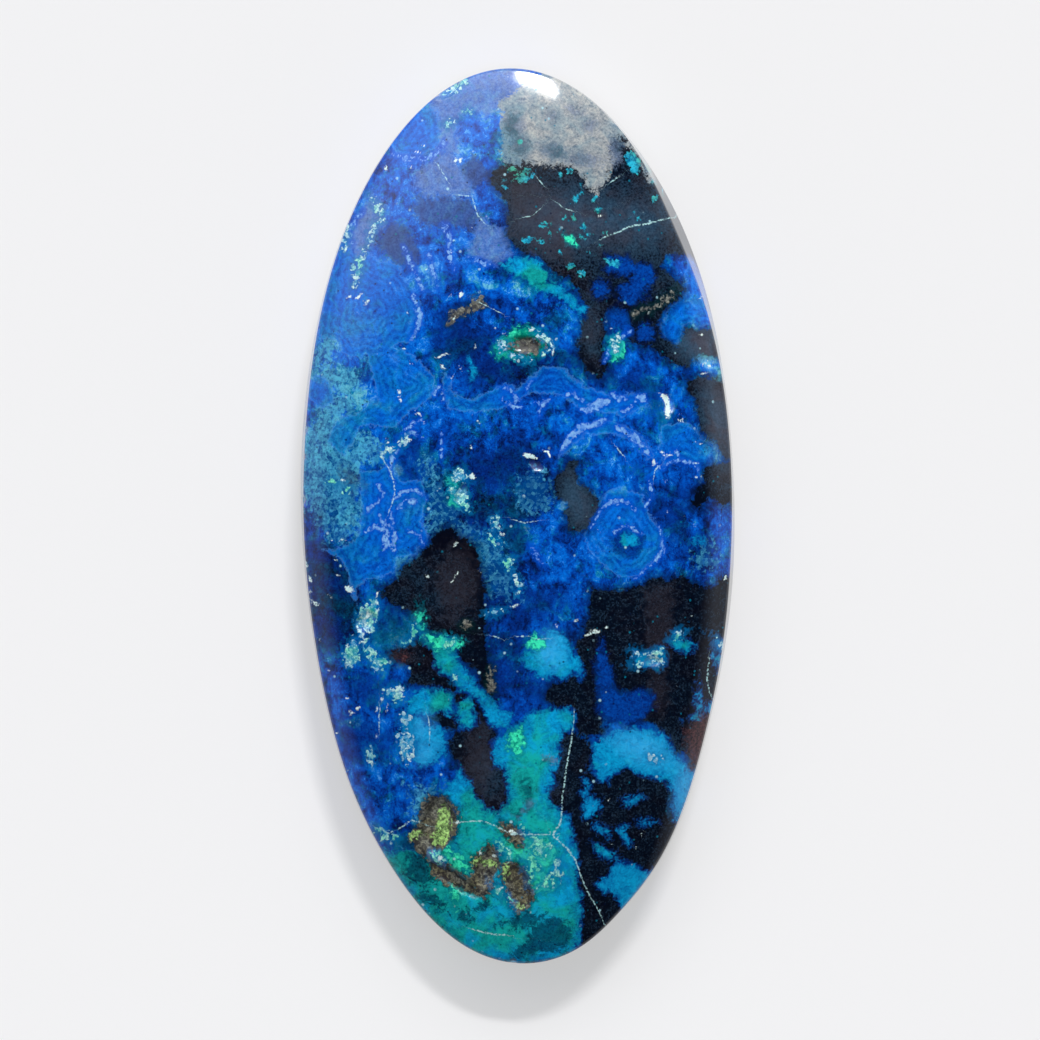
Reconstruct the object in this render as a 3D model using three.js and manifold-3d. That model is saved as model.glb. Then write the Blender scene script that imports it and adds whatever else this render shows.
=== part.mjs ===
// A polished oval cabochon cut from azurite that grew with chrysocolla, malachite and black tenorite.
// It is one piece of stone: a flat back, a low wall that leans in, and a domed face.
// Millimetres, +Z up. The back lies on z = 0, the face looks up, and the long axis runs along Y.
import * as THREE from 'three';
import { mergeVertices } from 'three/addons/utils/BufferGeometryUtils.js';
import Module from 'manifold-3d';

const LENGTH = 46.0;
const WIDTH = 22.28;
const WALL_TOP = 2.9; // height of the shoulder, where the wall meets the dome
const DOME_RISE = 3.0; // the dome above the shoulder
const BACK_BEVEL = 0.5; // the small bevel round the back, as wide as it is high
const WALL_LEAN = 0.14; // how far the wall leans in, all round
const SHOULDER_DROP = 0.08; // the last of the wall is a narrow eased edge, this high
const SHOULDER_SHARE = 0.92; // how much of its lean the wall has below that eased edge
const DOME_CURVE = 0.78; // share of the dome that is a plain curve
const SHOULDER_POWER = 8; // the rest falls away only near the edge, as a rounded shoulder
const AXIS_SKEW = -0.015; // sideways drift of the middle line, per millimetre of length

const UNEVENNESS = 0.1; // how far from smooth the pockets and chips are
const POCKET_REACH = 1.12; // only the tip of a pocket's tool dips in, so the tool is this much wider
const POCKET_HEIGHT = 2.2; // and this many times as high as the pocket is deep
const CHIP_LIFT = 0.05; // a chip's middle lies this far above the shoulder
const BEARING_STEP = 0.5; // degrees to each side, for the direction of the rim
const SEGMENTS = 128;
const DOME_RINGS = 22;
const RING_SPACING = 0.9; // under 1 sets the dome's rings a little wider near the middle

// The wheel left the outline a little full or a little flat in places: bearing, spread and share.
const OUTLINE_HUMPS = [
  { bearing: 31, spread: 20, amount: 0.016 },
  { bearing: 148, spread: 20, amount: 0.008 },
  { bearing: -163, spread: 16, amount: -0.011 },
  { bearing: -128, spread: 14, amount: -0.007 },
  { bearing: -62, spread: 10, amount: -0.009 },
  { bearing: -28, spread: 14, amount: -0.015 },
];

// Where the wall was ground further back, which shows from above as a wider rim.
const RIM_FACETS = [
  { bearing: 39, spread: 13, amount: 0.36 },
  { bearing: -8, spread: 12, amount: 0.1 },
  { bearing: 170, spread: 14, amount: 0.07 },
];

// Shallow swellings and hollows that hand polishing leaves on the face.
const FACE_WAVES = [
  { x: -4.5, y: 12.0, spread: 4.5, amount: 0.06 },
  { x: 5.0, y: 15.5, spread: 3.5, amount: -0.05 },
  { x: 4.0, y: 1.0, spread: 4.0, amount: 0.05 },
  { x: -5.5, y: -8.0, spread: 4.0, amount: -0.04 },
];

// Open pockets in the face: middle, half length, half width, turn and depth.
const POCKETS = [
  { x: -4.05, y: -15.75, long: 1.45, wide: 0.8, turn: 78, depth: 0.3 },
  { x: -3.15, y: -18.6, long: 1.6, wide: 0.42, turn: -32, depth: 0.2 },
  { x: -1.6, y: -17.95, long: 1.05, wide: 0.55, turn: 72, depth: 0.22 },
  { x: 0.05, y: -18.95, long: 1.2, wide: 0.6, turn: 100, depth: 0.24 },
  { x: 0.4, y: 8.72, long: 0.62, wide: 0.36, turn: 4, depth: 0.16 },
  { x: 7.7, y: 5.75, long: 0.55, wide: 0.22, turn: 112, depth: 0.16 },
  { x: -2.85, y: 1.2, long: 0.5, wide: 0.28, turn: 60, depth: 0.14 },
  { x: -7.8, y: -5.4, long: 0.62, wide: 0.4, turn: 40, depth: 0.16 },
  { x: 6.9, y: -7.4, long: 0.5, wide: 0.24, turn: 10, depth: 0.12 },
  { x: 1.0, y: 2.55, long: 0.42, wide: 0.2, turn: -30, depth: 0.12 },
];

// Small flakes lost from the shoulder: bearing, half length, how far in and how far down they reach.
const CHIPS = [
  { bearing: 107, long: 0.95, inwards: 0.42, down: 0.5 },
  { bearing: 169, long: 0.3, inwards: 0.2, down: 0.35 },
  { bearing: 172.5, long: 0.26, inwards: 0.16, down: 0.3 },
  { bearing: 178, long: 0.36, inwards: 0.2, down: 0.4 },
  { bearing: -93, long: 0.3, inwards: 0.16, down: 0.25 },
  { bearing: 62, long: 0.4, inwards: 0.2, down: 0.3 },
];

const wasm = await Module();
wasm.setup();

// The height of a smooth bump at a distance from its middle.
function bump(distance, spread) {
  return Math.exp(-((distance / spread) ** 2));
}

// The turn from one bearing to another, from -180 to 180 degrees.
function turnBetween(a, b) {
  return THREE.MathUtils.euclideanModulo(a - b + 180, 360) - 180;
}

// The sum of the bumps round the rim at a bearing in degrees.
function aroundRim(list, bearing) {
  return list.reduce((sum, b) => sum + b.amount * bump(turnBetween(bearing, b.bearing), b.spread), 0);
}

// The point of the outline at a bearing, as seen from above.
function outlinePoint(bearing) {
  const angle = THREE.MathUtils.degToRad(bearing);
  const reach = 1 + aroundRim(OUTLINE_HUMPS, bearing);
  const y = (LENGTH / 2) * reach * Math.sin(angle);
  return new THREE.Vector2((WIDTH / 2) * reach * Math.cos(angle) + AXIS_SKEW * y, y);
}

// The direction that points out of the outline at a bearing.
function outwardAt(bearing) {
  const along = outlinePoint(bearing + BEARING_STEP).sub(outlinePoint(bearing - BEARING_STEP)).normalize();
  return new THREE.Vector2(along.y, -along.x);
}

function wallLean(bearing) {
  return WALL_LEAN + aroundRim(RIM_FACETS, bearing);
}

// The height of the face at a point, where u runs from 0 in the middle to 1 at the shoulder.
function faceHeight(u, x, y) {
  const fall = DOME_CURVE * u ** 2 + (1 - DOME_CURVE) * u ** SHOULDER_POWER;
  const raise = (sum, wave) => sum + wave.amount * bump(Math.hypot(x - wave.x, y - wave.y), wave.spread);
  const waves = FACE_WAVES.reduce(raise, 0);
  return WALL_TOP + DOME_RISE * (1 - fall) + waves * (1 - u ** 4);
}

// The section of the blank that the lathe turns, from the middle of the back to the middle of the face.
// Its heights 0, 1, 2 and 3 stand for the back, the outline, the top of the wall and the dome.
// On the back and the dome its radius, up to 1, is the share of the way from the middle to the rim.
function section() {
  const corners = [[0, 0], [1, 0], [1.2, 1], [1.1, 2]];
  const back = corners.map(([radius, level]) => new THREE.Vector2(radius, level));
  const dome = [];
  for (let ring = 0; ring <= DOME_RINGS; ring += 1) {
    const u = Math.sin((1 - ring / DOME_RINGS) * Math.PI / 2) ** RING_SPACING;
    dome.push(new THREE.Vector2(ring === DOME_RINGS ? 0 : u, 3));
  }
  return [...back, ...dome];
}

// Moves a vertex of the turned blank to its place on the stone.
function placeVertex(blank, index) {
  const radius = Math.hypot(blank.getX(index), blank.getZ(index));
  const level = Math.round(blank.getY(index));
  const bearing = THREE.MathUtils.radToDeg(Math.atan2(blank.getX(index), blank.getZ(index)));
  const lean = wallLean(bearing);
  const inset = [BACK_BEVEL, 0, lean * SHOULDER_SHARE, lean][level];
  const rim = outlinePoint(bearing).addScaledVector(outwardAt(bearing), -inset);
  const share = Math.min(radius, 1);
  const x = rim.x * share;
  const y = rim.y * share;
  const height = [0, BACK_BEVEL, WALL_TOP - SHOULDER_DROP, faceHeight(share, x, y)][level];
  blank.setXYZ(index, x, y, height);
}

// A closed mesh as a solid that can be cut.
function solidFrom(geometry) {
  geometry.deleteAttribute('normal');
  geometry.deleteAttribute('uv');
  const merged = mergeVertices(geometry, 1e-4);
  const vertProperties = new Float32Array(merged.attributes.position.array);
  const triVerts = new Uint32Array(merged.index.array);
  return new wasm.Manifold(new wasm.Mesh({ numProp: 3, vertProperties, triVerts }));
}

// A cut solid as a mesh geometry again.
function geometryFrom(solid) {
  const { vertProperties, triVerts } = solid.getMesh();
  const geometry = new THREE.BufferGeometry();
  geometry.setAttribute('position', new THREE.BufferAttribute(vertProperties, 3));
  geometry.setIndex(new THREE.BufferAttribute(triVerts, 1));
  geometry.computeVertexNormals();
  return geometry;
}

function stoneBlank() {
  const geometry = new THREE.LatheGeometry(section(), SEGMENTS);
  const blank = geometry.attributes.position;
  for (let index = 0; index < blank.count; index += 1) placeVertex(blank, index);
  return solidFrom(geometry);
}

// The height of the dome above a point seen from above.
function faceAt(x, y) {
  const bearing = THREE.MathUtils.radToDeg(Math.atan2(y / LENGTH, (x - AXIS_SKEW * y) / WIDTH));
  const rim = outlinePoint(bearing).addScaledVector(outwardAt(bearing), -wallLean(bearing));
  return faceHeight(Math.hypot(x, y) / rim.length(), x, y);
}

// Makes a smooth tool uneven, so that what it leaves looks broken out and not drilled.
function roughen(geometry) {
  const place = geometry.attributes.position;
  for (let index = 0; index < place.count; index += 1) {
    const [x, y, z] = [place.getX(index), place.getY(index), place.getZ(index)];
    const swell = 1 + UNEVENNESS * (Math.sin(5 * x + 2 * y) + Math.cos(4 * y - 3 * z + x));
    place.setXYZ(index, x * swell, y * swell, z * swell);
  }
  return geometry;
}

// The lump that leaves a pocket: a faceted pebble that dips into the face.
function pocketTool(pocket) {
  const height = pocket.depth * POCKET_HEIGHT;
  const tool = roughen(new THREE.IcosahedronGeometry(1, 2));
  tool.scale(pocket.long * POCKET_REACH, pocket.wide * POCKET_REACH, height);
  tool.rotateZ(THREE.MathUtils.degToRad(pocket.turn));
  tool.translate(pocket.x, pocket.y, faceAt(pocket.x, pocket.y) + height - pocket.depth);
  return solidFrom(tool);
}

// The lump that leaves a chip on the shoulder.
function chipTool(chip) {
  const edge = outlinePoint(chip.bearing);
  const out = outwardAt(chip.bearing);
  const reach = wallLean(chip.bearing);
  const tool = roughen(new THREE.IcosahedronGeometry(1, 1));
  tool.scale(chip.inwards + reach, chip.long, chip.down);
  tool.rotateZ(out.angle());
  tool.translate(edge.x, edge.y, WALL_TOP + CHIP_LIFT);
  return solidFrom(tool);
}

let stone = stoneBlank();
for (const pocket of POCKETS) {
  stone = stone.subtract(pocketTool(pocket));
}
for (const chip of CHIPS) {
  stone = stone.subtract(chipTool(chip));
}

const polishedStone = new THREE.MeshStandardMaterial({ color: 0x1440a0, roughness: 0.16, metalness: 0 });
const cabochon = new THREE.Mesh(geometryFrom(stone), polishedStone);
cabochon.name = 'azurite_cabochon';

const part = new THREE.Group();
part.add(cabochon);

export default part;
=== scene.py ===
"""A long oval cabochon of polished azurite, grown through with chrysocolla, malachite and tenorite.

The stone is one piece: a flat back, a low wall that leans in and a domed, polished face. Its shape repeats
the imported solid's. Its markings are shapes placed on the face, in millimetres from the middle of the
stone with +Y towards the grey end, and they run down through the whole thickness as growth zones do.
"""
import logging
import math
from dataclasses import dataclass, field
from enum import Enum

import bmesh
import bpy
import numpy as np
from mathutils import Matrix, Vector, noise


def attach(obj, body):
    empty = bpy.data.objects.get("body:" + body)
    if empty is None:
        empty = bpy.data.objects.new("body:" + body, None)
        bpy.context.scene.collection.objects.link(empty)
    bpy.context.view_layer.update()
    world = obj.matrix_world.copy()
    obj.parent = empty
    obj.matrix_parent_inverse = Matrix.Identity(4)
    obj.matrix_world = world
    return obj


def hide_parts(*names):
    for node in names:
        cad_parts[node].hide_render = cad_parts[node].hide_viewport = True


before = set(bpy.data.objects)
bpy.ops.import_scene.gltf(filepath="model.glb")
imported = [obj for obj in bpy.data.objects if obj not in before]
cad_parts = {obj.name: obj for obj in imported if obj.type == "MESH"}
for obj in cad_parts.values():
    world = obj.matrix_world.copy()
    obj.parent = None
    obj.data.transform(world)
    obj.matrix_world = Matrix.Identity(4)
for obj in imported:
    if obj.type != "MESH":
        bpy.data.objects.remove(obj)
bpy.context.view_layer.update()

MM = 0.001  # the shapes here are in millimetres and the scene is in metres
LOG = logging.getLogger("cabochon")
RIPPLE_SEED = 4  # without a seed the ripples would start from the clock and differ on each run
SEED_SKEW = 1.7  # keeps a seed's shift off the diagonal
TINY = 1e-9  # stands in for the length of a stretch whose ends meet

Colour = tuple[float, float, float]
Point = tuple[float, float]
Array = np.ndarray
Socket = bpy.types.NodeSocket


def bump(distance: Array, spread: float) -> Array:
    """Returns the height, from 1 down to 0, of a smooth bump at distances from its middle."""
    return np.exp(-((distance / spread) ** 2))


def turn_between(first: Array, second: float) -> Array:
    """Returns the turn from one bearing to another, from -180 to 180 degrees."""
    return (first - second + 180) % 360 - 180


def smooth(low: float, high: float, value: Array) -> Array:
    """Returns 0 below low, 1 above high and a smooth step between them."""
    share = np.clip((value - low) / (high - low), 0, 1)
    return share * share * (3 - 2 * share)


def ripple(places: Array, scale: float, seed: float) -> Array:
    """Gives each place a smooth random offset.

    Args:
        places: Points in millimetres, one row each.
        scale: Ripples per millimetre.
        seed: Shifts the field, so that two calls with other seeds don't match.

    Returns:
        Three values from about -1 to 1 for each point.
    """
    shift = Vector((seed, seed * SEED_SKEW, -seed))
    return np.array([noise.noise_vector(Vector(place) * scale + shift) for place in places.tolist()])


@dataclass(frozen=True)
class RimBump:
    """A stretch of the rim that stands out or falls back, round one bearing in degrees."""

    bearing: float
    spread: float
    amount: float


@dataclass(frozen=True)
class FaceWave:
    """A shallow swelling or hollow of the polished face."""

    x: float
    y: float
    spread: float
    amount: float


@dataclass(frozen=True)
class Oval:
    """A place on the face: its middle, half length and half width in millimetres, and turn in degrees."""

    x: float
    y: float
    long: float
    wide: float
    turn: float

    def shares(self, places: Array) -> tuple[Array, Array]:
        """Measures places in the oval's own directions.

        Args:
            places: Points on the stone, in millimetres.

        Returns:
            The shares of the half length and of the half width, each 1 or -1 at the oval's ends.
        """
        turn = math.radians(self.turn)
        dx, dy = places[:, 0] - self.x, places[:, 1] - self.y
        along = (dx * math.cos(turn) + dy * math.sin(turn)) / self.long
        across = (dy * math.cos(turn) - dx * math.sin(turn)) / self.wide
        return along, across


@dataclass(frozen=True)
class Pocket(Oval):
    """A crusty pocket that the polish didn't reach."""

    depth: float


@dataclass(frozen=True)
class Chip:
    """A small flake lost from the shoulder."""

    bearing: float
    long: float
    inwards: float
    down: float


@dataclass(frozen=True)
class CabochonForm:
    """The shape of the stone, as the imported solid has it."""

    length: float = 46.0
    width: float = 22.28
    wall_top: float = 2.9
    dome_rise: float = 3.0
    back_bevel: float = 0.5
    wall_lean: float = 0.14
    shoulder_drop: float = 0.08
    shoulder_share: float = 0.92
    dome_curve: float = 0.78
    shoulder_power: int = 8
    axis_skew: float = -0.015
    outline_humps: tuple[RimBump, ...] = (
        RimBump(31, 20, 0.016), RimBump(148, 20, 0.008), RimBump(-163, 16, -0.011),
        RimBump(-128, 14, -0.007), RimBump(-62, 10, -0.009), RimBump(-28, 14, -0.015),
    )
    rim_facets: tuple[RimBump, ...] = (RimBump(39, 13, 0.36), RimBump(-8, 12, 0.1), RimBump(170, 14, 0.07))
    face_waves: tuple[FaceWave, ...] = (
        FaceWave(-4.5, 12.0, 4.5, 0.06), FaceWave(5.0, 15.5, 3.5, -0.05),
        FaceWave(4.0, 1.0, 4.0, 0.05), FaceWave(-5.5, -8.0, 4.0, -0.04),
    )

    tangent_step: float = 0.5

    @staticmethod
    def around_rim(bumps: tuple[RimBump, ...], bearing: Array) -> Array:
        """Returns the sum of the bumps at each bearing."""
        return sum(b.amount * bump(turn_between(bearing, b.bearing), b.spread) for b in bumps)

    def outline(self, bearing: Array) -> Array:
        """Follows the outline, as it is seen from above.

        Args:
            bearing: Bearings in degrees, from +X towards +Y.

        Returns:
            The outline's point at each bearing.
        """
        angle = np.radians(bearing)
        reach = 1 + self.around_rim(self.outline_humps, bearing)
        y = self.length / 2 * reach * np.sin(angle)
        return np.stack([self.width / 2 * reach * np.cos(angle) + self.axis_skew * y, y], axis=-1)

    def outward(self, bearing: Array) -> Array:
        """Finds which way is out.

        Args:
            bearing: Bearings in degrees.

        Returns:
            The direction of length 1 that points out of the outline at each bearing.
        """
        along = self.outline(bearing + self.tangent_step) - self.outline(bearing - self.tangent_step)
        along /= np.linalg.norm(along, axis=-1, keepdims=True)
        return np.stack([along[..., 1], -along[..., 0]], axis=-1)

    def lean(self, bearing: Array) -> Array:
        """Returns how far the wall leans in at each bearing."""
        return self.wall_lean + self.around_rim(self.rim_facets, bearing)

    def face_height(self, share: Array, x: Array, y: Array) -> Array:
        """Measures the polished face.

        Args:
            share: The share of the way to the shoulder, from 0 in the middle to 1.
            x: Places across the stone.
            y: Places along it.

        Returns:
            The height of the face at each place.
        """
        fall = self.dome_curve * share**2 + (1 - self.dome_curve) * share**self.shoulder_power
        waves = sum(w.amount * bump(np.hypot(x - w.x, y - w.y), w.spread) for w in self.face_waves)
        return self.wall_top + self.dome_rise * (1 - fall) + waves * (1 - share**4)


@dataclass
class Cabochon:
    """The polished stone: a fine face, the wall, and a plainer back, in one closed mesh.

    The blank is a slab two units square and three high. Its layers stand for the back, the outline above the
    bevel, the top of the wall and the face, and each vertex then moves to its place on the stone.
    """

    form: CabochonForm = field(default_factory=CabochonForm)
    face_columns: int = 204
    face_rows: int = 304
    wall_steps: int = 8
    back_coarseness: int = 2
    slab_height: float = 3.0
    half_layer: float = 0.5
    corner_bearing: float = 53.5
    pockets: tuple[Pocket, ...] = (
        Pocket(-4.05, -15.75, 1.45, 0.8, 78, 0.3), Pocket(-3.15, -18.6, 1.6, 0.42, -32, 0.2),
        Pocket(-1.6, -17.95, 1.05, 0.55, 72, 0.22), Pocket(0.05, -18.95, 1.2, 0.6, 100, 0.24),
        Pocket(0.4, 8.72, 0.62, 0.36, 4, 0.16), Pocket(7.7, 5.75, 0.55, 0.22, 112, 0.16),
        Pocket(-2.85, 1.2, 0.5, 0.28, 60, 0.14), Pocket(-7.8, -5.4, 0.62, 0.4, 40, 0.16),
        Pocket(6.9, -7.4, 0.5, 0.24, 10, 0.12), Pocket(1.0, 2.55, 0.42, 0.2, -30, 0.12),
    )
    chips: tuple[Chip, ...] = (
        Chip(107, 0.95, 0.42, 0.5), Chip(169, 0.3, 0.2, 0.35), Chip(172.5, 0.26, 0.16, 0.3),
        Chip(178, 0.36, 0.2, 0.4), Chip(-93, 0.3, 0.16, 0.25), Chip(62, 0.4, 0.2, 0.3),
    )
    pocket_fray: float = 0.12
    fray_scale: float = 3.0
    fray_seed: float = 4.0
    pocket_edge: tuple[float, float] = (0.75, 1.12)
    crust_mean: float = 0.9
    crust_swing: float = 0.35
    crust_scale: float = 4.5
    crust_seed: float = 9.0
    chip_edge: tuple[float, float] = (0.2, 1.0)
    chip_press: float = 0.55
    crease_angle: float = 62.0

    def sheet(self, columns: int, rows: int, level: float) -> bpy.types.Object:
        """Adds one square sheet of the blank.

        Args:
            columns: Faces across.
            rows: Faces along.
            level: Its height in the blank.

        Returns:
            The new mesh object.
        """
        bpy.ops.mesh.primitive_grid_add(
            x_subdivisions=columns, y_subdivisions=rows, size=2, location=(0, 0, level)
        )
        made = bpy.context.object
        bpy.ops.object.transform_apply(location=True, rotation=False, scale=False)
        return made

    def blank(self) -> bpy.types.Object:
        """Makes the slab that the stone is shaped from.

        Returns:
            The blank: the face, the wall extruded down from its rim, and the back bridged to the wall.
        """
        coarse = self.back_coarseness
        bpy.ops.object.select_all(action="DESELECT")
        back = self.sheet(self.face_columns // coarse, self.face_rows // coarse, 0)
        bpy.ops.object.select_all(action="DESELECT")
        face = self.sheet(self.face_columns, self.face_rows, self.slab_height)
        bpy.ops.object.mode_set(mode="EDIT")
        bpy.ops.mesh.select_all(action="SELECT")
        bpy.ops.mesh.region_to_loop()
        for step in range(self.wall_steps + 1):
            drop = -1 if step == 0 else -1 / self.wall_steps
            bpy.ops.mesh.extrude_region_move(TRANSFORM_OT_translate={"value": (0, 0, drop)})
        bpy.ops.object.mode_set(mode="OBJECT")
        back.select_set(True)
        face.select_set(True)
        bpy.context.view_layer.objects.active = face
        bpy.ops.object.join()
        bpy.ops.object.mode_set(mode="EDIT")
        bpy.ops.mesh.select_all(action="DESELECT")
        mesh = bmesh.from_edit_mesh(face.data)
        for edge in mesh.edges:
            edge.select = edge.is_boundary
        mesh.select_flush_mode()
        bmesh.update_edit_mesh(face.data)
        bpy.ops.mesh.bridge_edge_loops()
        bpy.ops.object.mode_set(mode="OBJECT")
        return face

    def shares(self, square: Array) -> tuple[Array, Array]:
        """Turns places on the square blank into shares of the way to the rim, and bearings.

        Args:
            square: Places from -1 to 1 both ways, one row each.

        Returns:
            The shares from 0 to 1, and the bearings in degrees.
        """
        a, b = square[:, 0], square[:, 1]
        share = np.maximum(np.abs(a), np.abs(b))
        beside = np.abs(a) >= np.abs(b)
        safe = np.where(share > 0, share, 1)
        side = self.corner_bearing * b / safe * np.sign(np.where(a == 0, 1, a))
        right = np.where(a >= 0, 0.0, 180.0)
        swept = (90 - self.corner_bearing) * a / safe * np.sign(np.where(b == 0, 1, b))
        end = np.where(b >= 0, 90.0, -90.0) - swept
        return share, np.where(beside, right + side, end)

    def placed(self, blank: Array) -> Array:
        """Shapes the blank.

        Args:
            blank: The blank's vertices.

        Returns:
            Their places on the stone, in millimetres, before the pockets and flakes.
        """
        form = self.form
        share, bearing = self.shares(blank[:, :2])
        level = blank[:, 2]
        on_face, on_back = level > self.slab_height - self.half_layer, level < self.half_layer
        climb = np.clip(level - 1, 0, 1)
        lean = form.lean(bearing)
        wall_inset = climb * form.shoulder_share * lean
        inset = np.where(on_face, lean, np.where(on_back, form.back_bevel, wall_inset))
        rim = form.outline(bearing) - form.outward(bearing) * inset[:, None]
        flat = rim * np.where(on_face | on_back, share, 1)[:, None]
        wall = form.back_bevel + climb * (form.wall_top - form.shoulder_drop - form.back_bevel)
        face = form.face_height(share, flat[:, 0], flat[:, 1])
        height = np.where(on_face, face, np.where(on_back, 0, wall))
        return np.column_stack([flat, height])

    def pocket_share(self, places: Array) -> tuple[Array, Array]:
        """Finds the open pockets of the face.

        Args:
            places: Vertices in millimetres.

        Returns:
            How far inside a pocket each vertex is, from 0 to 1, and how deep that pocket is there.
        """
        inside, depth = np.zeros(len(places)), np.zeros(len(places))
        frayed = places[:, :2] + self.pocket_fray * ripple(places, self.fray_scale, self.fray_seed)[:, :2]
        for pocket in self.pockets:
            share = 1 - smooth(*self.pocket_edge, np.hypot(*pocket.shares(frayed)))
            inside = np.maximum(inside, share)
            depth = np.maximum(depth, share * pocket.depth)
        return inside, depth

    def chipped(self, places: Array) -> Array:
        """Presses the small flakes out of the shoulder.

        Args:
            places: Vertices in millimetres.

        Returns:
            The vertices with those inside a flake moved in and down to its broken face.
        """
        form = self.form
        for chip in self.chips:
            bearing = np.array([chip.bearing])
            edge, out = form.outline(bearing)[0], form.outward(bearing)[0]
            along = np.array([-out[1], out[0]])
            offset = places - np.array([edge[0], edge[1], form.wall_top])
            local = np.column_stack([
                offset[:, :2] @ out / (chip.inwards + form.lean(bearing)[0]),
                offset[:, :2] @ along / chip.long,
                offset[:, 2] / chip.down,
            ])
            hit = 1 - smooth(*self.chip_edge, np.linalg.norm(local, axis=1))
            inward = np.array([-out[0] * chip.inwards, -out[1] * chip.inwards, -chip.down])
            places = places + hit[:, None] * inward * self.chip_press
        return places

    def build(self) -> bpy.types.Object:
        """Shapes and smooths the stone.

        Returns:
            The finished stone, with its mesh in place and its pocket attribute.
        """
        stone = self.blank()
        stone.name = "polished_cabochon"
        stone.data.name = "polished_cabochon"
        mesh = stone.data
        blank = np.empty(len(mesh.vertices) * 3)
        mesh.vertices.foreach_get("co", blank)
        places = self.placed(blank.reshape(-1, 3))
        inside, depth = self.pocket_share(places)
        on_face = places[:, 2] > self.form.wall_top
        crust = self.crust_mean + self.crust_swing * ripple(places, self.crust_scale, self.crust_seed)[:, 2]
        places[:, 2] -= np.where(on_face, depth * crust, 0)
        places = self.chipped(places)
        mesh.vertices.foreach_set("co", (places * MM).ravel())
        mesh.update()
        bpy.ops.object.mode_set(mode="EDIT")
        bpy.ops.mesh.select_all(action="SELECT")
        bpy.ops.mesh.normals_make_consistent(inside=False)
        bpy.ops.object.mode_set(mode="OBJECT")
        bpy.ops.object.select_all(action="DESELECT")
        stone.select_set(True)
        bpy.ops.object.shade_smooth_by_angle(angle=math.radians(self.crease_angle))
        pocket = mesh.attributes.new("pocket", "FLOAT", "POINT")
        pocket.data.foreach_set("value", np.where(on_face, inside, 0).astype(np.float32))
        return stone


class Mineral(Enum):
    """What a marking is made of, in the order in which the markings lie over each other."""

    NAVY = "navy"
    MOTTLE = "mottle"
    PALE = "pale"
    # Partly purple-grey stone, partly painted reflection: the pale veil of the bright far side near the top
    # end.
    LILAC = "lilac"
    SLATE = "slate"
    TENORITE = "tenorite"
    UMBER = "umber"
    CAP = "cap"
    ISLAND = "island"
    TURQUOISE = "turquoise"
    GLOW = "glow"
    MURK = "murk"
    DEEP = "deep"
    EMERALD = "emerald"
    CRUMB = "crumb"
    MATRIX = "matrix"
    LIME = "lime"
    RUSSET = "russet"
    FROST = "frost"
    MINT = "mint"
    # Partly pale mineral crumbs, partly painted glints where small pits catch the light.
    WHITE = "white"


@dataclass(frozen=True)
class Blot(Oval):
    """A rounded spot."""

    turn: float = 0

    def depth(self, places: Array) -> Array:
        """Returns how far inside the spot each place is, in millimetres, and below 0 outside."""
        return (1 - np.hypot(*self.shares(places))) * min(self.long, self.wide)

    def reach(self) -> tuple[float, float, float, float]:
        """Returns the lowest and highest x, then y, that the spot can touch."""
        size = max(self.long, self.wide)
        return self.x - size, self.x + size, self.y - size, self.y + size


class Drawn:
    """A shape that is drawn through points."""

    def __init__(self, *points: Point) -> None:
        """Keeps the points.

        Args:
            points: The points in millimetres, in order.
        """
        self.points = np.array(points, float)

    def reach(self) -> tuple[float, float, float, float]:
        """Returns the lowest and highest x, then y, of the points."""
        low, high = self.points.min(0), self.points.max(0)
        return low[0], high[0], low[1], high[1]


class Patch(Drawn):
    """A closed outline, given by its corners."""

    def depth(self, places: Array) -> Array:
        """Measures places against the outline.

        Args:
            places: Points on the stone.

        Returns:
            How far inside the outline each place is, in millimetres, and below 0 outside.
        """
        nearest = np.full(len(places), np.inf)
        inside = np.zeros(len(places), bool)
        for start, end in zip(self.points, np.roll(self.points, -1, axis=0)):
            nearest = np.minimum(nearest, to_line(places, start, end)[0])
            crosses = (start[1] > places[:, 1]) != (end[1] > places[:, 1])
            climb = end[1] - start[1] if end[1] != start[1] else 1.0
            edge = (end[0] - start[0]) * (places[:, 1] - start[1]) / climb + start[0]
            inside ^= crosses & (places[:, 0] < edge)
        return np.where(inside, nearest, -nearest)


class Streak(Drawn):
    """A line that thins out towards both ends."""

    taper = 0.6

    def __init__(self, width: float, *points: Point) -> None:
        """Keeps the line.

        Args:
            width: Its width at the middle, in millimetres.
            points: The points that it runs through.
        """
        super().__init__(*points)
        self.width = width

    def nearest(self, places: Array) -> tuple[Array, Array, Array]:
        """Finds the nearest point of the line to each place.

        Args:
            places: Points on the stone.

        Returns:
            The distance, the share of the way along the line, and which side the place is on.
        """
        best = np.full(len(places), np.inf)
        share, side = np.zeros(len(places)), np.ones(len(places))
        count = len(self.points) - 1
        for index in range(count):
            away, along, hand = to_line(places, self.points[index], self.points[index + 1])
            closer = away < best
            best = np.where(closer, away, best)
            share = np.where(closer, (index + along) / count, share)
            side = np.where(closer, hand, side)
        return best, share, side

    def depth(self, places: Array) -> Array:
        """Returns how far inside the line's width each place is, in millimetres, and below 0 outside."""
        away, share, _ = self.nearest(places)
        return self.width / 2 * (1 - self.taper * (2 * share - 1) ** 2) - away


Shape = Blot | Patch | Streak


def to_line(places: Array, start: Array, end: Array) -> tuple[Array, Array, Array]:
    """Measures places against one straight stretch.

    Args:
        places: Points on the stone.
        start: Where the stretch begins.
        end: Where it ends.

    Returns:
        The distance, the share of the way along from 0 to 1, and the side, -1 or 1.
    """
    way, offset = end - start, places - start
    along = np.clip(offset @ way / max(way @ way, TINY), 0, 1)
    away = np.hypot(*(offset - along[:, None] * way).T)
    return away, along, np.where(way[0] * offset[:, 1] - way[1] * offset[:, 0] >= 0, 1.0, -1.0)


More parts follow.
